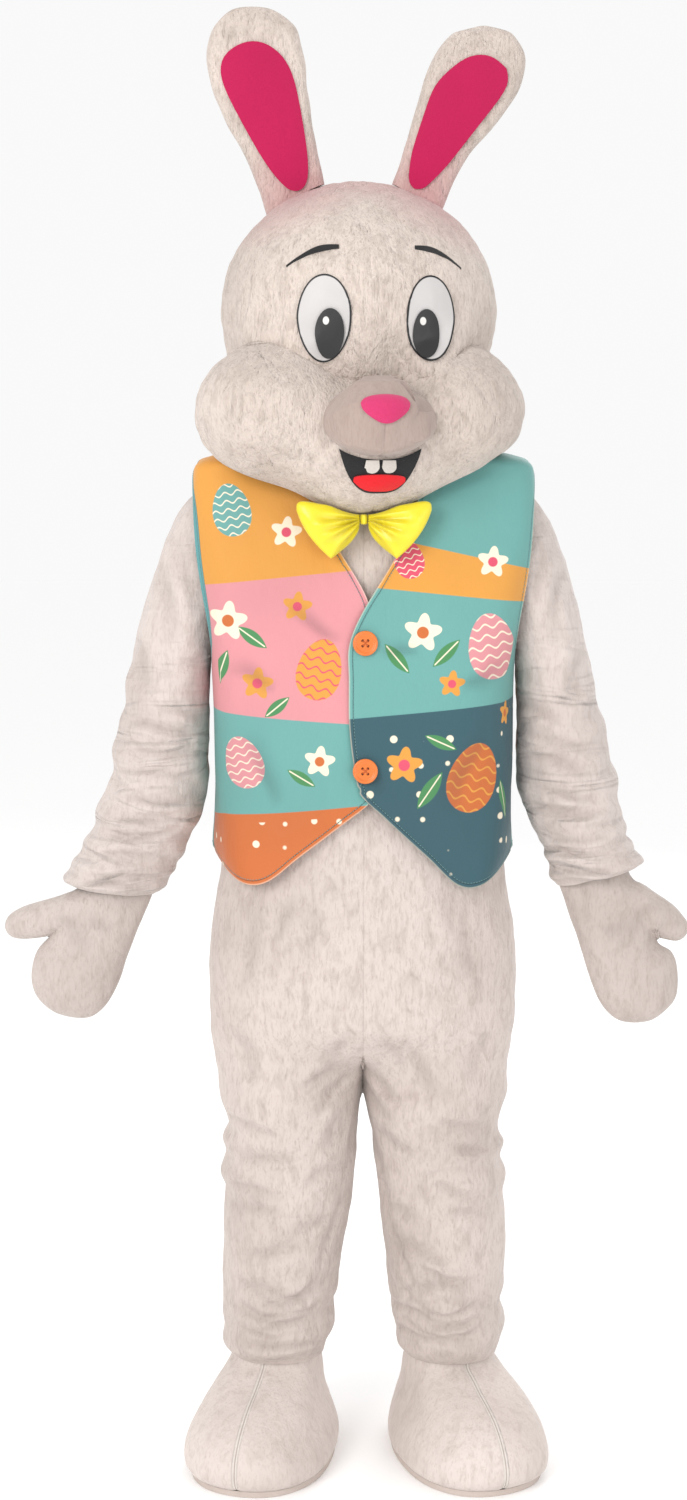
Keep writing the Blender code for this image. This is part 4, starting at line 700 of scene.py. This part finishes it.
def felt(name, colour, dark, roughness=0.85, fleck=0.5):
    """Pressed polyester felt: matt, with fibres that catch the light in flecks. They are drawn 2.4 mm
    apart, coarser than the real 0.05 mm, so that they show."""
    s = Finish(name, colour, roughness, {"Sheen Weight": 0.2, "Specular IOR Level": 0.25})
    fibres = s.grain(2.38, 3, 0.7)
    s.lay(fibres.between(0.45, 0.8) * fleck, dark)
    s.lay(s.grain(91).between(0.4, 0.8) * 0.35, dark)
    s.bump(fibres, 0.0004)
    return s.done()


def ear_seam(points, normals, stored):
    """A seam round the ear's edge, and a foot that goes down into the pile of the head."""
    stored["seam"] = np.abs(normals[:, 1]) * 14 + 0.6
    points = points + normals * (waves(points, 0.05, 8) * 0.0008)[:, None]
    low = np.percentile(points[:, 2], 2)
    points[:, 2] -= EAR_SINK * np.clip((low + EAR_FOOT - points[:, 2]) / EAR_FOOT, 0, 1)
    return points


pink_felt = felt("pressed_pink_felt", "#b0114b", "#9b0c3d")
for name in SIDES:
    solid(f"ear_{name}", 3, head_plush, ear_seam)
    solid(f"ear_lining_{name}", 2, pink_felt)


# The muzzle and the nose
# A stuffed pad of short pile with one seam down from the nose, and a padded nose of pink felt, both sewn to
# the head's front, which is turned a little to the viewer's right.

HEAD_TURN = math.radians(8)
HEAD_AHEAD = (math.sin(HEAD_TURN), -math.cos(HEAD_TURN), 0)


def muzzle_seam(points, normals, stored):
    """The seam from the nose down, sunk 1.5 mm into the muzzle's lower half."""
    middle = (points.min(axis=0) + points.max(axis=0)) / 2
    x, y = points[:, 0] - middle[0], points[:, 1] - middle[1]
    along = x * math.cos(HEAD_TURN) + y * math.sin(HEAD_TURN)
    under = points[:, 2] < middle[2] + 0.01
    stored["seam"] = np.where(under & (normals[:, 1] < 0), np.abs(along) * 1000, FAR)
    return points - normals * (0.0015 * np.exp(-((stored["seam"] / 3.0) ** 2)))[:, None]


muzzle_plush = plush("close_sheared_muzzle_plush", "#a6958d", "#8f7d76", 0.0005, 0.0012, seam=0.35)
nose_felt = felt("pressed_nose_felt", "#c7386b", "#ad2454")
solid("muzzle", 3, muzzle_plush, muzzle_seam, HEAD_AHEAD)
solid("nose", 3, nose_felt, ahead=HEAD_AHEAD)


# The mouth, the tongue and the teeth
# Shapes of felt 2 mm and more thick, cut out and glued on top of each other under the muzzle: a black
# mouth, a red tongue and two pale teeth.

black_felt = felt("pressed_black_felt", "#161618", "#2d2c2b", 0.7, 0.6)
red_felt = felt("pressed_red_felt", "#d3101b", "#b20c18", 0.6)
tooth_felt = felt("pressed_tooth_felt", "#c4beb7", "#a59d95", 0.7)
solid("mouth", 2, black_felt, ahead=HEAD_AHEAD)
solid("tongue", 2, red_felt, ahead=HEAD_AHEAD)
for name in SIDES:
    solid(f"tooth_{name}", 3, tooth_felt, ahead=HEAD_AHEAD)


# The eyes and the brows
# Ovals of smooth cloth over card, bound with black, with black pupils that a painted glint brightens, and
# two thin brows of black felt. All are glued to the pile.

EYE_BINDING = 2.6  # millimetres
GLINT = 0.0052


def eye_cloth():
    """Tightly woven polyester, pressed smooth: a slight gloss, greyer in places."""
    s = Finish("woven_eye_cloth", "#bebbba", 0.5, {"Specular IOR Level": 0.4}, ["edge"])
    s.lay(s.grain(111).between(0.4, 0.7) * 0.4, "#a19e9d")
    s.lay(s.edge.under(EYE_BINDING, 0.9), "#141416")
    s.bump(s.grain(1.43), 0.0002)
    return s.done()


def pupil_cloth(name):
    """The same cloth in black, with a painted glint at the pupil's upper left."""
    low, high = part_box(name)
    x, height = low[0] * 0.62 + high[0] * 0.38, low[2] * 0.24 + high[2] * 0.76 - FLOOR
    s = Finish(f"{name}_woven_cloth", "#181819", 0.42, {"Specular IOR Level": 0.5})
    a, b = s.x - x, s.up - height
    s.lay((a * a * 1.6 + b * b).math("SQRT").under(GLINT, 0.001), "#d5d3cf")
    s.bump(s.grain(1.67), 0.0002)
    return s.done()


white_cloth = eye_cloth()
for name in SIDES:
    solid(f"eye_{name}", 2, white_cloth, ahead=HEAD_AHEAD)
    solid(f"pupil_{name}", 2, pupil_cloth(f"pupil_{name}"), ahead=HEAD_AHEAD)
    solid(f"brow_{name}", 2, black_felt, ahead=HEAD_AHEAD)


# The vest
# Two fronts and a back of printed polyester satin, joined at the shoulders and the sides, hemmed and
# topstitched 6 mm inside every edge, with a teal binding at one armhole. It hangs open at the arms and is
# buttoned in front.

VEST_WALL = 0.0015
VEST_CREASES = (
    (-0.030, 1.190, -0.105, 1.240, 10, 1.8, 5), (0.020, 1.182, 0.075, 1.176, 9, 2.0, -4),
    (0.000, 1.010, 0.030, 0.985, 10, 1.5, 3), (-0.190, 1.150, -0.120, 1.120, 12, 1.5, 6),
    (0.130, 1.130, 0.195, 1.160, 12, 1.5, -6), (-0.170, 1.060, -0.120, 0.960, 14, 1.5, 8),
    (0.170, 1.060, 0.120, 0.950, 14, 1.5, -8),
)
CREAM = "#e7dbc4"
TEAL = "#589193"
LIGHT_TEAL = "#659c97"
DEEP_TEAL = "#32545d"
ORANGE = "#be6632"
YELLOW = "#d1923f"
PINK = "#ce8a8f"
ROSE = "#ce4e66"
LEAF = "#478352"
# Each block lies over the ones before it: height of its top edge at x 0, that edge's slope, colour.
BLOCKS = {
    "vest_front_left": (
        (2.0, 0.0, YELLOW), (1.285, 0.10, PINK), (1.075, -0.06, LIGHT_TEAL), (0.965, 0.10, ORANGE),
    ),
    "vest_front_right": (
        (2.0, 0.0, LIGHT_TEAL), (1.335, -0.22, YELLOW), (1.262, -0.10, LIGHT_TEAL), (1.085, 0.08, DEEP_TEAL),
    ),
    "vest_back": (
        (2.0, 0.0, DEEP_TEAL), (1.340, 0.08, PINK), (1.175, -0.08, YELLOW), (1.010, 0.05, LIGHT_TEAL),
    ),
}
EGGS = {  # x, height, half width, half height, tilt in degrees, colour, band colour
    "vest_front_left": (
        (-0.180, 1.365, 0.026, 0.036, 12, LIGHT_TEAL, CREAM),
        (-0.060, 1.150, 0.030, 0.042, -14, YELLOW, ROSE), (-0.165, 1.020, 0.027, 0.036, 18, PINK, CREAM),
    ),
    "vest_front_right": (
        (0.175, 1.180, 0.033, 0.046, 10, PINK, CREAM), (0.150, 1.000, 0.034, 0.048, -16, ORANGE, YELLOW),
        (0.060, 1.300, 0.020, 0.028, 20, ROSE, CREAM),
    ),
    "vest_back": (
        (-0.100, 1.255, 0.034, 0.048, -12, LIGHT_TEAL, CREAM), (0.110, 1.095, 0.034, 0.048, 14, ROSE, CREAM),
        (-0.120, 0.945, 0.030, 0.042, 10, ORANGE, YELLOW),
    ),
}
FLOWERS = {  # x, height, radius, petals' colour, middle's colour
    "vest_front_left": (
        (-0.185, 1.215, 0.028, CREAM, ORANGE), (-0.090, 1.235, 0.021, YELLOW, ROSE),
        (-0.145, 1.130, 0.023, YELLOW, ROSE), (-0.105, 1.335, 0.022, CREAM, ROSE),
        (-0.060, 1.025, 0.022, CREAM, ORANGE),
    ),
    "vest_front_right": (
        (0.080, 1.200, 0.027, CREAM, ORANGE), (0.120, 1.130, 0.019, YELLOW, ROSE),
        (0.055, 1.020, 0.026, YELLOW, ROSE), (0.175, 1.295, 0.022, CREAM, ROSE),
        (0.205, 1.085, 0.018, YELLOW, ORANGE),
    ),
    "vest_back": (
        (0.090, 1.260, 0.028, CREAM, ORANGE), (-0.100, 1.090, 0.027, CREAM, ROSE),
        (0.100, 0.950, 0.026, CREAM, ORANGE), (0.000, 1.390, 0.024, YELLOW, ROSE),
        (0.000, 1.180, 0.018, ROSE, YELLOW),
    ),
}
LEAVES = {  # x, height, half width, half length, tilt in degrees
    "vest_front_left": (
        (-0.152, 1.193, 0.009, 0.025, 55), (-0.118, 1.098, 0.008, 0.022, -50),
        (-0.195, 1.150, 0.009, 0.026, -20), (-0.085, 1.002, 0.008, 0.022, 60),
    ),
    "vest_front_right": (
        (0.045, 1.165, 0.009, 0.026, 40), (0.112, 1.172, 0.009, 0.026, -45),
        (0.090, 0.985, 0.010, 0.030, -35), (0.200, 0.965, 0.010, 0.030, 20), (0.105, 1.050, 0.008, 0.024, 65),
    ),
    "vest_back": (
        (0.050, 1.235, 0.010, 0.028, 45), (-0.060, 1.060, 0.010, 0.028, -45),
        (0.060, 0.925, 0.010, 0.028, 50), (-0.060, 0.975, 0.009, 0.026, -30),
    ),
}
PRINT_SOFT = 0.0012  # how soft a printed edge is, in metres
PRINT_TURN = 0.085  # half the depth at which the vest turns to its sides, and its print turns with it
DOTS_APART = 0.03704
BINDING = 9.5  # millimetres
ARMHOLE_REACH = (1.145, 1.42)
STITCH = {"Pitch": 0.0044, "Length": 0.0034, "Thickness": 0.0009}  # metres
STITCH_INSET = 0.0060


def turned(s, x, height, degrees):
    """Two fields, across and along a motif that stands at x and height, tilted."""
    a, b = s.across - x, s.up - height
    c, t = math.cos(math.radians(degrees)), math.sin(math.radians(degrees))
    return a * c + b * t, b * c - a * t


def print_leaf(s, x, height, wide, long, tilt):
    a, b = turned(s, x, height, tilt)
    k = b * (1 / long)
    side = a.size() * (1 / wide) + k * k
    s.lay(side.under(1.0, 0.12), LEAF)
    s.lay((a.size().under(0.0009, 0.0008)).both(side.under(0.8, 0.1)), CREAM)


def print_flower(s, x, height, radius, petals, middle):
    a, b = turned(s, x, height, 11)
    out = (a * a + b * b).math("SQRT")
    wave = (b.math("ARCTAN2", a) * 5).math("COSINE")
    s.lay(out.under(wave * (radius * 0.2) + radius * 0.78, PRINT_SOFT), petals)
    s.lay(out.under(radius * 0.3, PRINT_SOFT), middle)


def print_egg(s, x, height, wide, long, tilt, colour, band):
    """An egg, narrower at the top, with wavy bands."""
    a, b = turned(s, x, height, tilt)
    k = b * (1 / long)
    girth = a * (1 / wide) * (k * 0.16 + 1)
    inside = (girth * girth + k * k).under(1.0, 0.06)
    s.lay(inside, colour)
    wave = (a * (math.pi * 3.0 / wide)).math("SINE") * 0.7
    bands = (b * (2 * math.pi / (long * 0.62)) + wave).math("SINE")
    s.lay(bands.size().under(0.28, 0.2).both(inside), band)


def vest_satin(panel):
    """Polyester satin, woven at 0.1 mm and dye printed: a soft gloss, with its weave drawn 1.1 mm apart to
    show."""
    settings = {"Specular IOR Level": 0.3, "Sheen Weight": 0.12}
    s = Finish(f"{panel}_printed_satin", BLOCKS[panel][0][2], 0.62, settings, ("edge", "dip", "armhole"))
    past = s.y * (-1 if panel == "vest_back" else 1) + PRINT_TURN
    s.across = s.x + s.x.math("SIGN") * past.math("MAXIMUM", 0.0)
    for top, slope, colour in BLOCKS[panel][1:]:
        s.lay((s.up - (s.across * slope)).under(top, PRINT_SOFT), colour)
    top, slope, _ = BLOCKS[panel][3]
    flat = add_node(s.tree, "ShaderNodeCombineXYZ", {"X": s.across.socket, "Z": s.z.socket})
    cells = {"Vector": flat.outputs[0], "Scale": 1 / DOTS_APART, "Randomness": 0.25}
    spots = add_node(s.tree, "ShaderNodeTexVoronoi", cells).outputs["Distance"]
    dots = Field(s.tree, spots).under(0.14, 0.03)
    s.lay(dots.both((s.up - (s.across * slope)).under(top - 0.012, PRINT_SOFT)), CREAM)
    for motif in LEAVES[panel]:
        print_leaf(s, *motif)
    for motif in FLOWERS[panel]:
        print_flower(s, *motif)
    for motif in EGGS[panel]:
        print_egg(s, *motif)
    channel = (s.edge - STITCH_INSET * 1000).size().under(0.5, 0.6)
    # Clouds of painted soft shade, which also make the print's tone uneven.
    s.lay(s.grain(286).between(0.42, 0.8) * 0.22, "#3c3c41")
    # Painted shade: the bottoms of the creases are darkened.
    s.lay(s.dip * 0.30, "#2d353c")
    # Painted highlight: the rolled edge, within 1.6 mm, is lightened.
    s.lay(s.edge.under(1.6, 1.2) * 0.35, CREAM)
    # Painted shade: the groove that the topstitching pulls in is darkened.
    s.lay(channel * 0.40, "#2d3c41")
    s.lay(s.armhole.under(BINDING, 0.8), TEAL)
    s.lay((s.armhole - BINDING - 0.3).size().under(0.4, 0.5) * 0.8, shaded(TEAL, 0.45))
    s.bump(s.grain((125, 125, 278), 2, 0.5, 0.5), 0.007)
    s.bump(s.grain((52.6, 52.6, 75.2), 3, 0.5, 0.8), 0.0022)
    s.bump(s.grain((1.11, 1.11, 3.7), 1), 0.0002)
    s.bump(channel * -1, 0.0009)
    s.bump(s.armhole.under(BINDING, 1.0), 0.0012)
    return s.done()


def sewing_thread():
    """Spun polyester thread: a little glossier than the cloth, with a twist that shows as darker flecks."""
    s = Finish("spun_sewing_thread", "#699393", 0.45, {"Sheen Weight": 0.1, "Specular IOR Level": 0.5})
    s.lay(s.grain(1.11).between(0.4, 0.7) * 0.5, "#547a7d")
    return s.done()


def stitch_nodes():
    """Geometry nodes that lay one sewn stitch after another along a curve."""
    tree = bpy.data.node_groups.new("topstitching", "GeometryNodeTree")
    tree.interface.new_socket("Geometry", in_out="OUTPUT", socket_type="NodeSocketGeometry")
    tree.interface.new_socket("Path", in_out="INPUT", socket_type="NodeSocketGeometry")
    for name in STITCH:
        tree.interface.new_socket(name, in_out="INPUT", socket_type="NodeSocketFloat")
    tree.interface.new_socket("Thread", in_out="INPUT", socket_type="NodeSocketMaterial")

    def add(kind, inputs=(), **settings):
        return add_node(tree, kind, inputs, **settings).outputs[0]

    given = add_node(tree, "NodeGroupInput").outputs
    path, pitch, long, thick = (given[key] for key in ("Path", *STITCH))
    spaced = add("GeometryNodeResampleCurve", {"Curve": path, "Length": pitch}, mode="LENGTH")
    bead = add("GeometryNodeMeshUVSphere", {"Segments": 6, "Rings": 4, "Radius": 0.5})
    size = add("ShaderNodeCombineXYZ", {"X": long, "Y": thick, "Z": thick})
    stitch = add("GeometryNodeTransform", {"Geometry": bead, "Scale": size})
    along = add("FunctionNodeAlignEulerToVector", {"Vector": add("GeometryNodeInputTangent")}, axis="X")
    row = add("GeometryNodeInstanceOnPoints", {"Points": spaced, "Instance": stitch, "Rotation": along})
    real = add("GeometryNodeRealizeInstances", {"Geometry": row})
    smooth = add("GeometryNodeSetShadeSmooth", {"Geometry": real})
    sewn = add("GeometryNodeSetMaterial", {"Geometry": smooth, "Material": given["Thread"]})
    add_node(tree, "NodeGroupOutput", {"Geometry": sewn})
    return tree


def rims_in_order(faces):
    """A skin's free edges as closed loops of points, with the cloth on the left of each step."""
    steps = {(f[k - 1], f[k]) for f in faces for k in range(len(f))}
    after = {a: b for a, b in sorted(steps) if (b, a) not in steps}
    loops = []
    while after:
        k, loop = min(after), []
        while k in after:
            loop.append(k)
            k = after.pop(k)
        loops.append(loop)
    return loops


def stitch_path(points, normals, faces):
    """A curve on a skin, inset from each of its free edges."""
    tree = BVHTree.FromPolygons([Vector(p) for p in points], faces)
    curve = bpy.data.curves.new("stitch_path", "CURVE")
    curve.dimensions = "3D"
    for loop in rims_in_order(faces):
        rim = points[loop]
        inward = np.cross(normals[loop], np.roll(rim, -3, axis=0) - np.roll(rim, 3, axis=0))
        path = rim + inward / np.linalg.norm(inward, axis=1, keepdims=True) * STITCH_INSET
        for _ in range(6):
            path = (np.roll(path, 1, axis=0) + path * 2 + np.roll(path, -1, axis=0)) / 4
        spline = curve.splines.new("POLY")
        spline.points.add(len(path) - 1)
        spline.use_cyclic_u = True
        for place, p in zip(spline.points, path):
            on, normal = tree.find_nearest(Vector(p))[:2]
            place.co = (*(on + normal * 0.0002), 1)
    return curve


def added(name, mesh, material):
    """A piece that is on no solid of its own, such as a row of stitches."""
    mesh.name = f"{name}_form"
    o = bpy.data.objects.new(name, mesh)
    bpy.context.scene.collection.objects.link(o)
    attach(o, "root")
    return dress(o, material)


def topstitch(curve, thread):
    """The rows of stitches along a curve, as one mesh."""
    rows = bpy.data.objects.new("stitch_rows", curve)
    bpy.context.scene.collection.objects.link(rows)
    modifier = rows.modifiers.new("stitches", "NODES")
    modifier.node_group = stitch_nodes()
    for item in modifier.node_group.interface.items_tree:
        if item.in_out == "INPUT" and item.name in STITCH:
            modifier[item.identifier] = STITCH[item.name]
        elif item.name == "Thread":
            modifier[item.identifier] = thread
    bpy.context.view_layer.update()
    seen = rows.evaluated_get(bpy.context.evaluated_depsgraph_get())
    mesh = bpy.data.meshes.new_from_object(seen)
    bpy.data.objects.remove(rows)
    bpy.data.curves.remove(curve)
    return added("vest_topstitching", mesh, thread)


vest_names = ["vest_front_left", "vest_front_right", "vest_back"]
points, normals, faces, numbers, stored = skin_of(
    vest_names, VEST_WALL, body_middle, VEST_CREASES, hidden(VEST_CREASES, 4), 0.0008, ((0.16, 0.0012),),
)
armhole_rim = {
    k for k in rim_points(faces, numbers, True)
    if points[k][0] < -0.12 and ARMHOLE_REACH[0] < height_of(points[k]) < ARMHOLE_REACH[1]
}
stored["armhole"] = distance_to(points, armhole_rim)
topstitch(stitch_path(points, normals, faces), sewing_thread())
for name, o in zip(vest_names, panels(vest_names, points, normals, faces, numbers, stored, VEST_WALL)):
    dress(o, vest_satin(name))


# The buttons
# Two turned discs of moulded polyester, 34 mm across, with a raised rim and four holes, sewn on the vest's
# front with a crossed thread.

BUTTON = 0.0170
HOLE_AT, HOLE = 0.0036, 0.0017
HOLE_SOFT = 0.0005
RIM_INNER = 0.70  # share of the radius inside which the face is dished
RINGS, TURNS = 22, 72
THREAD = 0.00045
# The rim's section: shares of the radius, then of the thickness.
RIM = (
    (0.93, 0.0), (1.0, 0.25), (1.0, 0.70), (0.97, 0.92),
    (0.90, 1.0), (0.82, 0.98), (0.76, 0.80), (0.70, 0.66),
)


def button_face(name):
    """Where a button stands: its middle, its right, up and out, its back's place along out, and its
    thickness."""
    low, high = (Vector(c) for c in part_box(name))
    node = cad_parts[name].data
    out = sum((p.normal * p.area for p in node.polygons if p.normal.y < -0.8), Vector()).normalized()
    right = (Vector((0, 0, 1)).cross(out) * -1).normalized()
    up = out.cross(right) * -1
    if up.z < 0:
        up.negate()
    centre = (low + high) / 2
    reach = [(Vector(v.co) - centre).dot(out) for v in node.vertices]
    return centre, right, up, out, min(reach), max(reach) - min(reach)


def button(name):
    centre, right, up, out, back, thick = button_face(name)
    profile = list(RIM)
    for k in range(1, RINGS + 1):
        profile.append((RIM_INNER - RIM_INNER * k / RINGS, 0.64 - 0.05 * math.cos(math.pi * k / (2 * RINGS))))
    points, dips = [centre + out * back], [0.0]
    for share, rise in profile[:-1]:
        for i in range(TURNS):
            turn = 2 * math.pi * i / TURNS
            a, b = share * BUTTON * math.cos(turn), share * BUTTON * math.sin(turn)
            away = min(math.hypot(a - hx * HOLE_AT, b - hy * HOLE_AT) for hx in (1, -1) for hy in (1, -1))
            deep = min(max((HOLE - away) / HOLE_SOFT + 0.5, 0), 1) if share <= RIM_INNER else 0.0
            points.append(centre + right * a + up * b + out * (back + rise * thick * (1 - 0.8 * deep)))
            dips.append(deep)
    points.append(centre + out * (back + profile[-1][1] * thick))
    dips.append(0.0)
    faces = []
    for i in range(TURNS):
        j = (i + 1) % TURNS
        faces.append([0, 1 + j, 1 + i])
        for r in range(len(profile) - 2):
            a = 1 + r * TURNS
            faces.append([a + i, a + j, a + TURNS + j, a + TURNS + i])
        a = 1 + (len(profile) - 2) * TURNS
        faces.append([a + i, a + j, len(points) - 1])
    dress(piece(name, points, faces, {"dip": dips}), button_plastic)


def button_thread(name):
    """Four strands that cross between the holes, each a bowed tube of six sides."""
    centre, right, up, out, back, thick = button_face(name)
    steps, sides = 13, 6
    points, faces = [], []
    for hx, hy in ((1, 1), (1, -1)):
        beside = Vector((hy, -hx)).normalized() * THREAD
        for shift in (-0.0004, 0.0004):
            base = len(points)
            for k in range(steps):
                t = k / 6 - 1
                a, b = hx * HOLE_AT * t + shift * hy, hy * HOLE_AT * t - shift * hx
                level = back + 0.62 * thick + 0.0009 * (1 - t ** 6) - 0.0006
                for i in range(sides):
                    turn = math.pi * i / 3
                    x, y = a + beside.x * math.cos(turn), b + beside.y * math.cos(turn)
                    points.append(centre + right * x + up * y + out * (level + THREAD * math.sin(turn)))
            for k in range(steps - 1):
                at = base + k * sides
                for i in range(sides):
                    j = (i + 1) % sides
                    faces.append([at + i, at + j, at + sides + j, at + sides + i])
            faces.append([base + i for i in range(sides)])
            faces.append([base + (steps - 1) * sides + i for i in reversed(range(sides))])
    mesh = bpy.data.meshes.new(f"{name}_thread_form")
    mesh.from_pydata([tuple(p) for p in points], [], faces)
    mesh.shade_smooth()
    added(f"{name}_thread", mesh, orange_thread)


# Moulded polyester, tumbled to a soft gloss under a thin clear skin, with darker clouds in it.
horn = Finish("moulded_polyester", "#d77126", 0.38, {
    "Specular IOR Level": 0.5, "Coat Weight": 0.25, "Coat Roughness": 0.25,
}, ["dip"])
horn.lay(horn.grain((11.1, 11.1, 3.7), 3, 0.6, 1.0).between(0.4, 0.8) * 0.5, "#be581b")
# Painted shade: the dished holes are dark brown, for the shade down in them.
horn.lay(horn.dip, "#542210")
horn.bump(horn.grain(3.33), 0.0002)
button_plastic = horn.done()
orange_thread = felt("spun_button_thread", "#c46024", "#a1471b", 0.7)
for name in ("button_upper", "button_lower"):
    button(name)
    button_thread(name)


# The bow
# Two stuffed loops of yellow satin gathered under a knot, pinned at the neck below the jaw. The gathers
# spread from the knot and fade towards the loops' ends.

BOW_HEIGHT = 1.3540
# Each fold: its turn from level in radians, its width in radians and its depth in millimetres.
BOW_FOLDS = ((-0.95, 0.10, 1.2), (-0.60, 0.10, 3.0), (-0.30, 0.09, 3.6), (0.00, 0.09, 3.0))


def bow_gathers(points, normals, stored):
    """Soft folds that spread from the knot."""
    x, height = np.abs(points[:, 0]), height_of(points.T) - BOW_HEIGHT
    out, turn = np.hypot(x, height), np.arctan2(height, x)
    fade = np.clip((out - 0.004) / 0.012, 0, 1) * np.clip((0.072 - out) / 0.04, 0, 1)
    move = np.zeros(len(points))
    for at, width, depth in BOW_FOLDS:
        trough = np.exp(-(((turn - at) / width) ** 2))
        crest = 0.5 * np.exp(-(((np.abs(turn - at) / width - 1.8) / 0.8) ** 2))
        move += fade * depth / 1000 * (crest - trough)
        stored["dip"] = np.maximum(stored["dip"], trough * fade)
    return points + normals * np.where(normals[:, 1] < 0, move, 0)[:, None]


# Polyester satin: long floats that lie one way, so the gloss is strong and stretched across them.
satin = Finish("woven_yellow_satin", "#e0d11d", 0.30, {
    "Sheen Weight": 0.15, "Specular IOR Level": 0.6, "Anisotropic": 0.5,
}, ["dip"])
# Painted shade: the troughs of the gathers are darkened.
satin.lay(satin.dip * 0.45, "#b2990c")
satin.lay(satin.grain(33.3).between(0.45, 0.8) * 0.25, "#cab514")
satin.bump(satin.grain(29.4, 3, 0.5, 0.8), 0.0015)
satin.bump(satin.grain(0.667, 1), 0.0001)
yellow_satin = satin.done()
for name in SIDES:
    solid(f"bow_{name}", 3, yellow_satin, bow_gathers)
solid("bow_knot", 3, yellow_satin)


# The floor, the light and the camera
# A plain pale floor that runs on into a white room, large soft lamps in front, above and behind, and a
# camera where the photograph was taken from.

FLOOR_REACH = 30
FLOOR_LEVEL = FLOOR - 0.0005
# Each lamp: its place, what it is aimed at, its size in metres, its watts and its colour.
LAMPS = {
    "key": ((-2.4, -3.6, 1.3), (0, 0, -0.5), (1.8, 2.2), 100, "#fffdfb"),
    "fill": ((2.3, -3.0, -0.3), (0, 0, -1.0), (2.2, 2.0), 26, "#fffefd"),
    "top": ((0, 0.6, 3.4), (0, 0, 0), (2.6, 2.6), 12, "#ffffff"),
    "back": ((1.6, 3.6, 1.6), (0, 0, -0.4), (2.2, 2.2), 45, "#ffffff"),
}
ROOM_LIGHT = 0.95
CAMERA_DROP = 6.7  # degrees that the camera looks down

corners = [(x * FLOOR_REACH, y * FLOOR_REACH, FLOOR_LEVEL) for x, y in ((-1, -1), (1, -1), (1, 1), (-1, 1))]
floor_mesh = bpy.data.meshes.new("floor_form")
floor_mesh.from_pydata(corners, [], [(0, 1, 2, 3)])
floor = bpy.data.objects.new("floor", floor_mesh)
bpy.context.scene.collection.objects.link(floor)
# Matt white paint, as pale as the room, so that no line shows where the two meet.
paint = Finish("rolled_white_paint", "#ffffff", 0.95)
paint.lay(paint.grain(667).between(0.4, 0.7) * 0.1, "#fefefe")
floor_mesh.materials.append(paint.done())

for name, (place, aim, size, watts, colour) in LAMPS.items():
    lamp = bpy.data.lights.new(name, "AREA")
    lamp.shape = "RECTANGLE"
    lamp.size, lamp.size_y = size
    lamp.energy = watts
    lamp.color = linear(colour)
    o = bpy.data.objects.new(name, lamp)
    bpy.context.scene.collection.objects.link(o)
    o.location = place
    o.rotation_euler = (Vector(aim) - Vector(place)).to_track_quat("-Z", "Y").to_euler()

world = bpy.data.worlds.new("studio")
bpy.context.scene.world = world
world.use_nodes = True
world.node_tree.nodes["Background"].inputs["Color"].default_value = (1, 1, 1, 1)
world.node_tree.nodes["Background"].inputs["Strength"].default_value = ROOM_LIGHT
bpy.context.scene.view_settings.view_transform = "Standard"

camera = bpy.data.objects.new("camera", bpy.data.cameras.new("camera"))
bpy.context.scene.collection.objects.link(camera)
camera.location = (-0.02755, -3.2, -0.02)
camera.rotation_euler = (math.radians(90 - CAMERA_DROP), 0, 0)
camera.data.lens = 54.36
camera.data.sensor_width = 36
bpy.context.scene.camera = camera
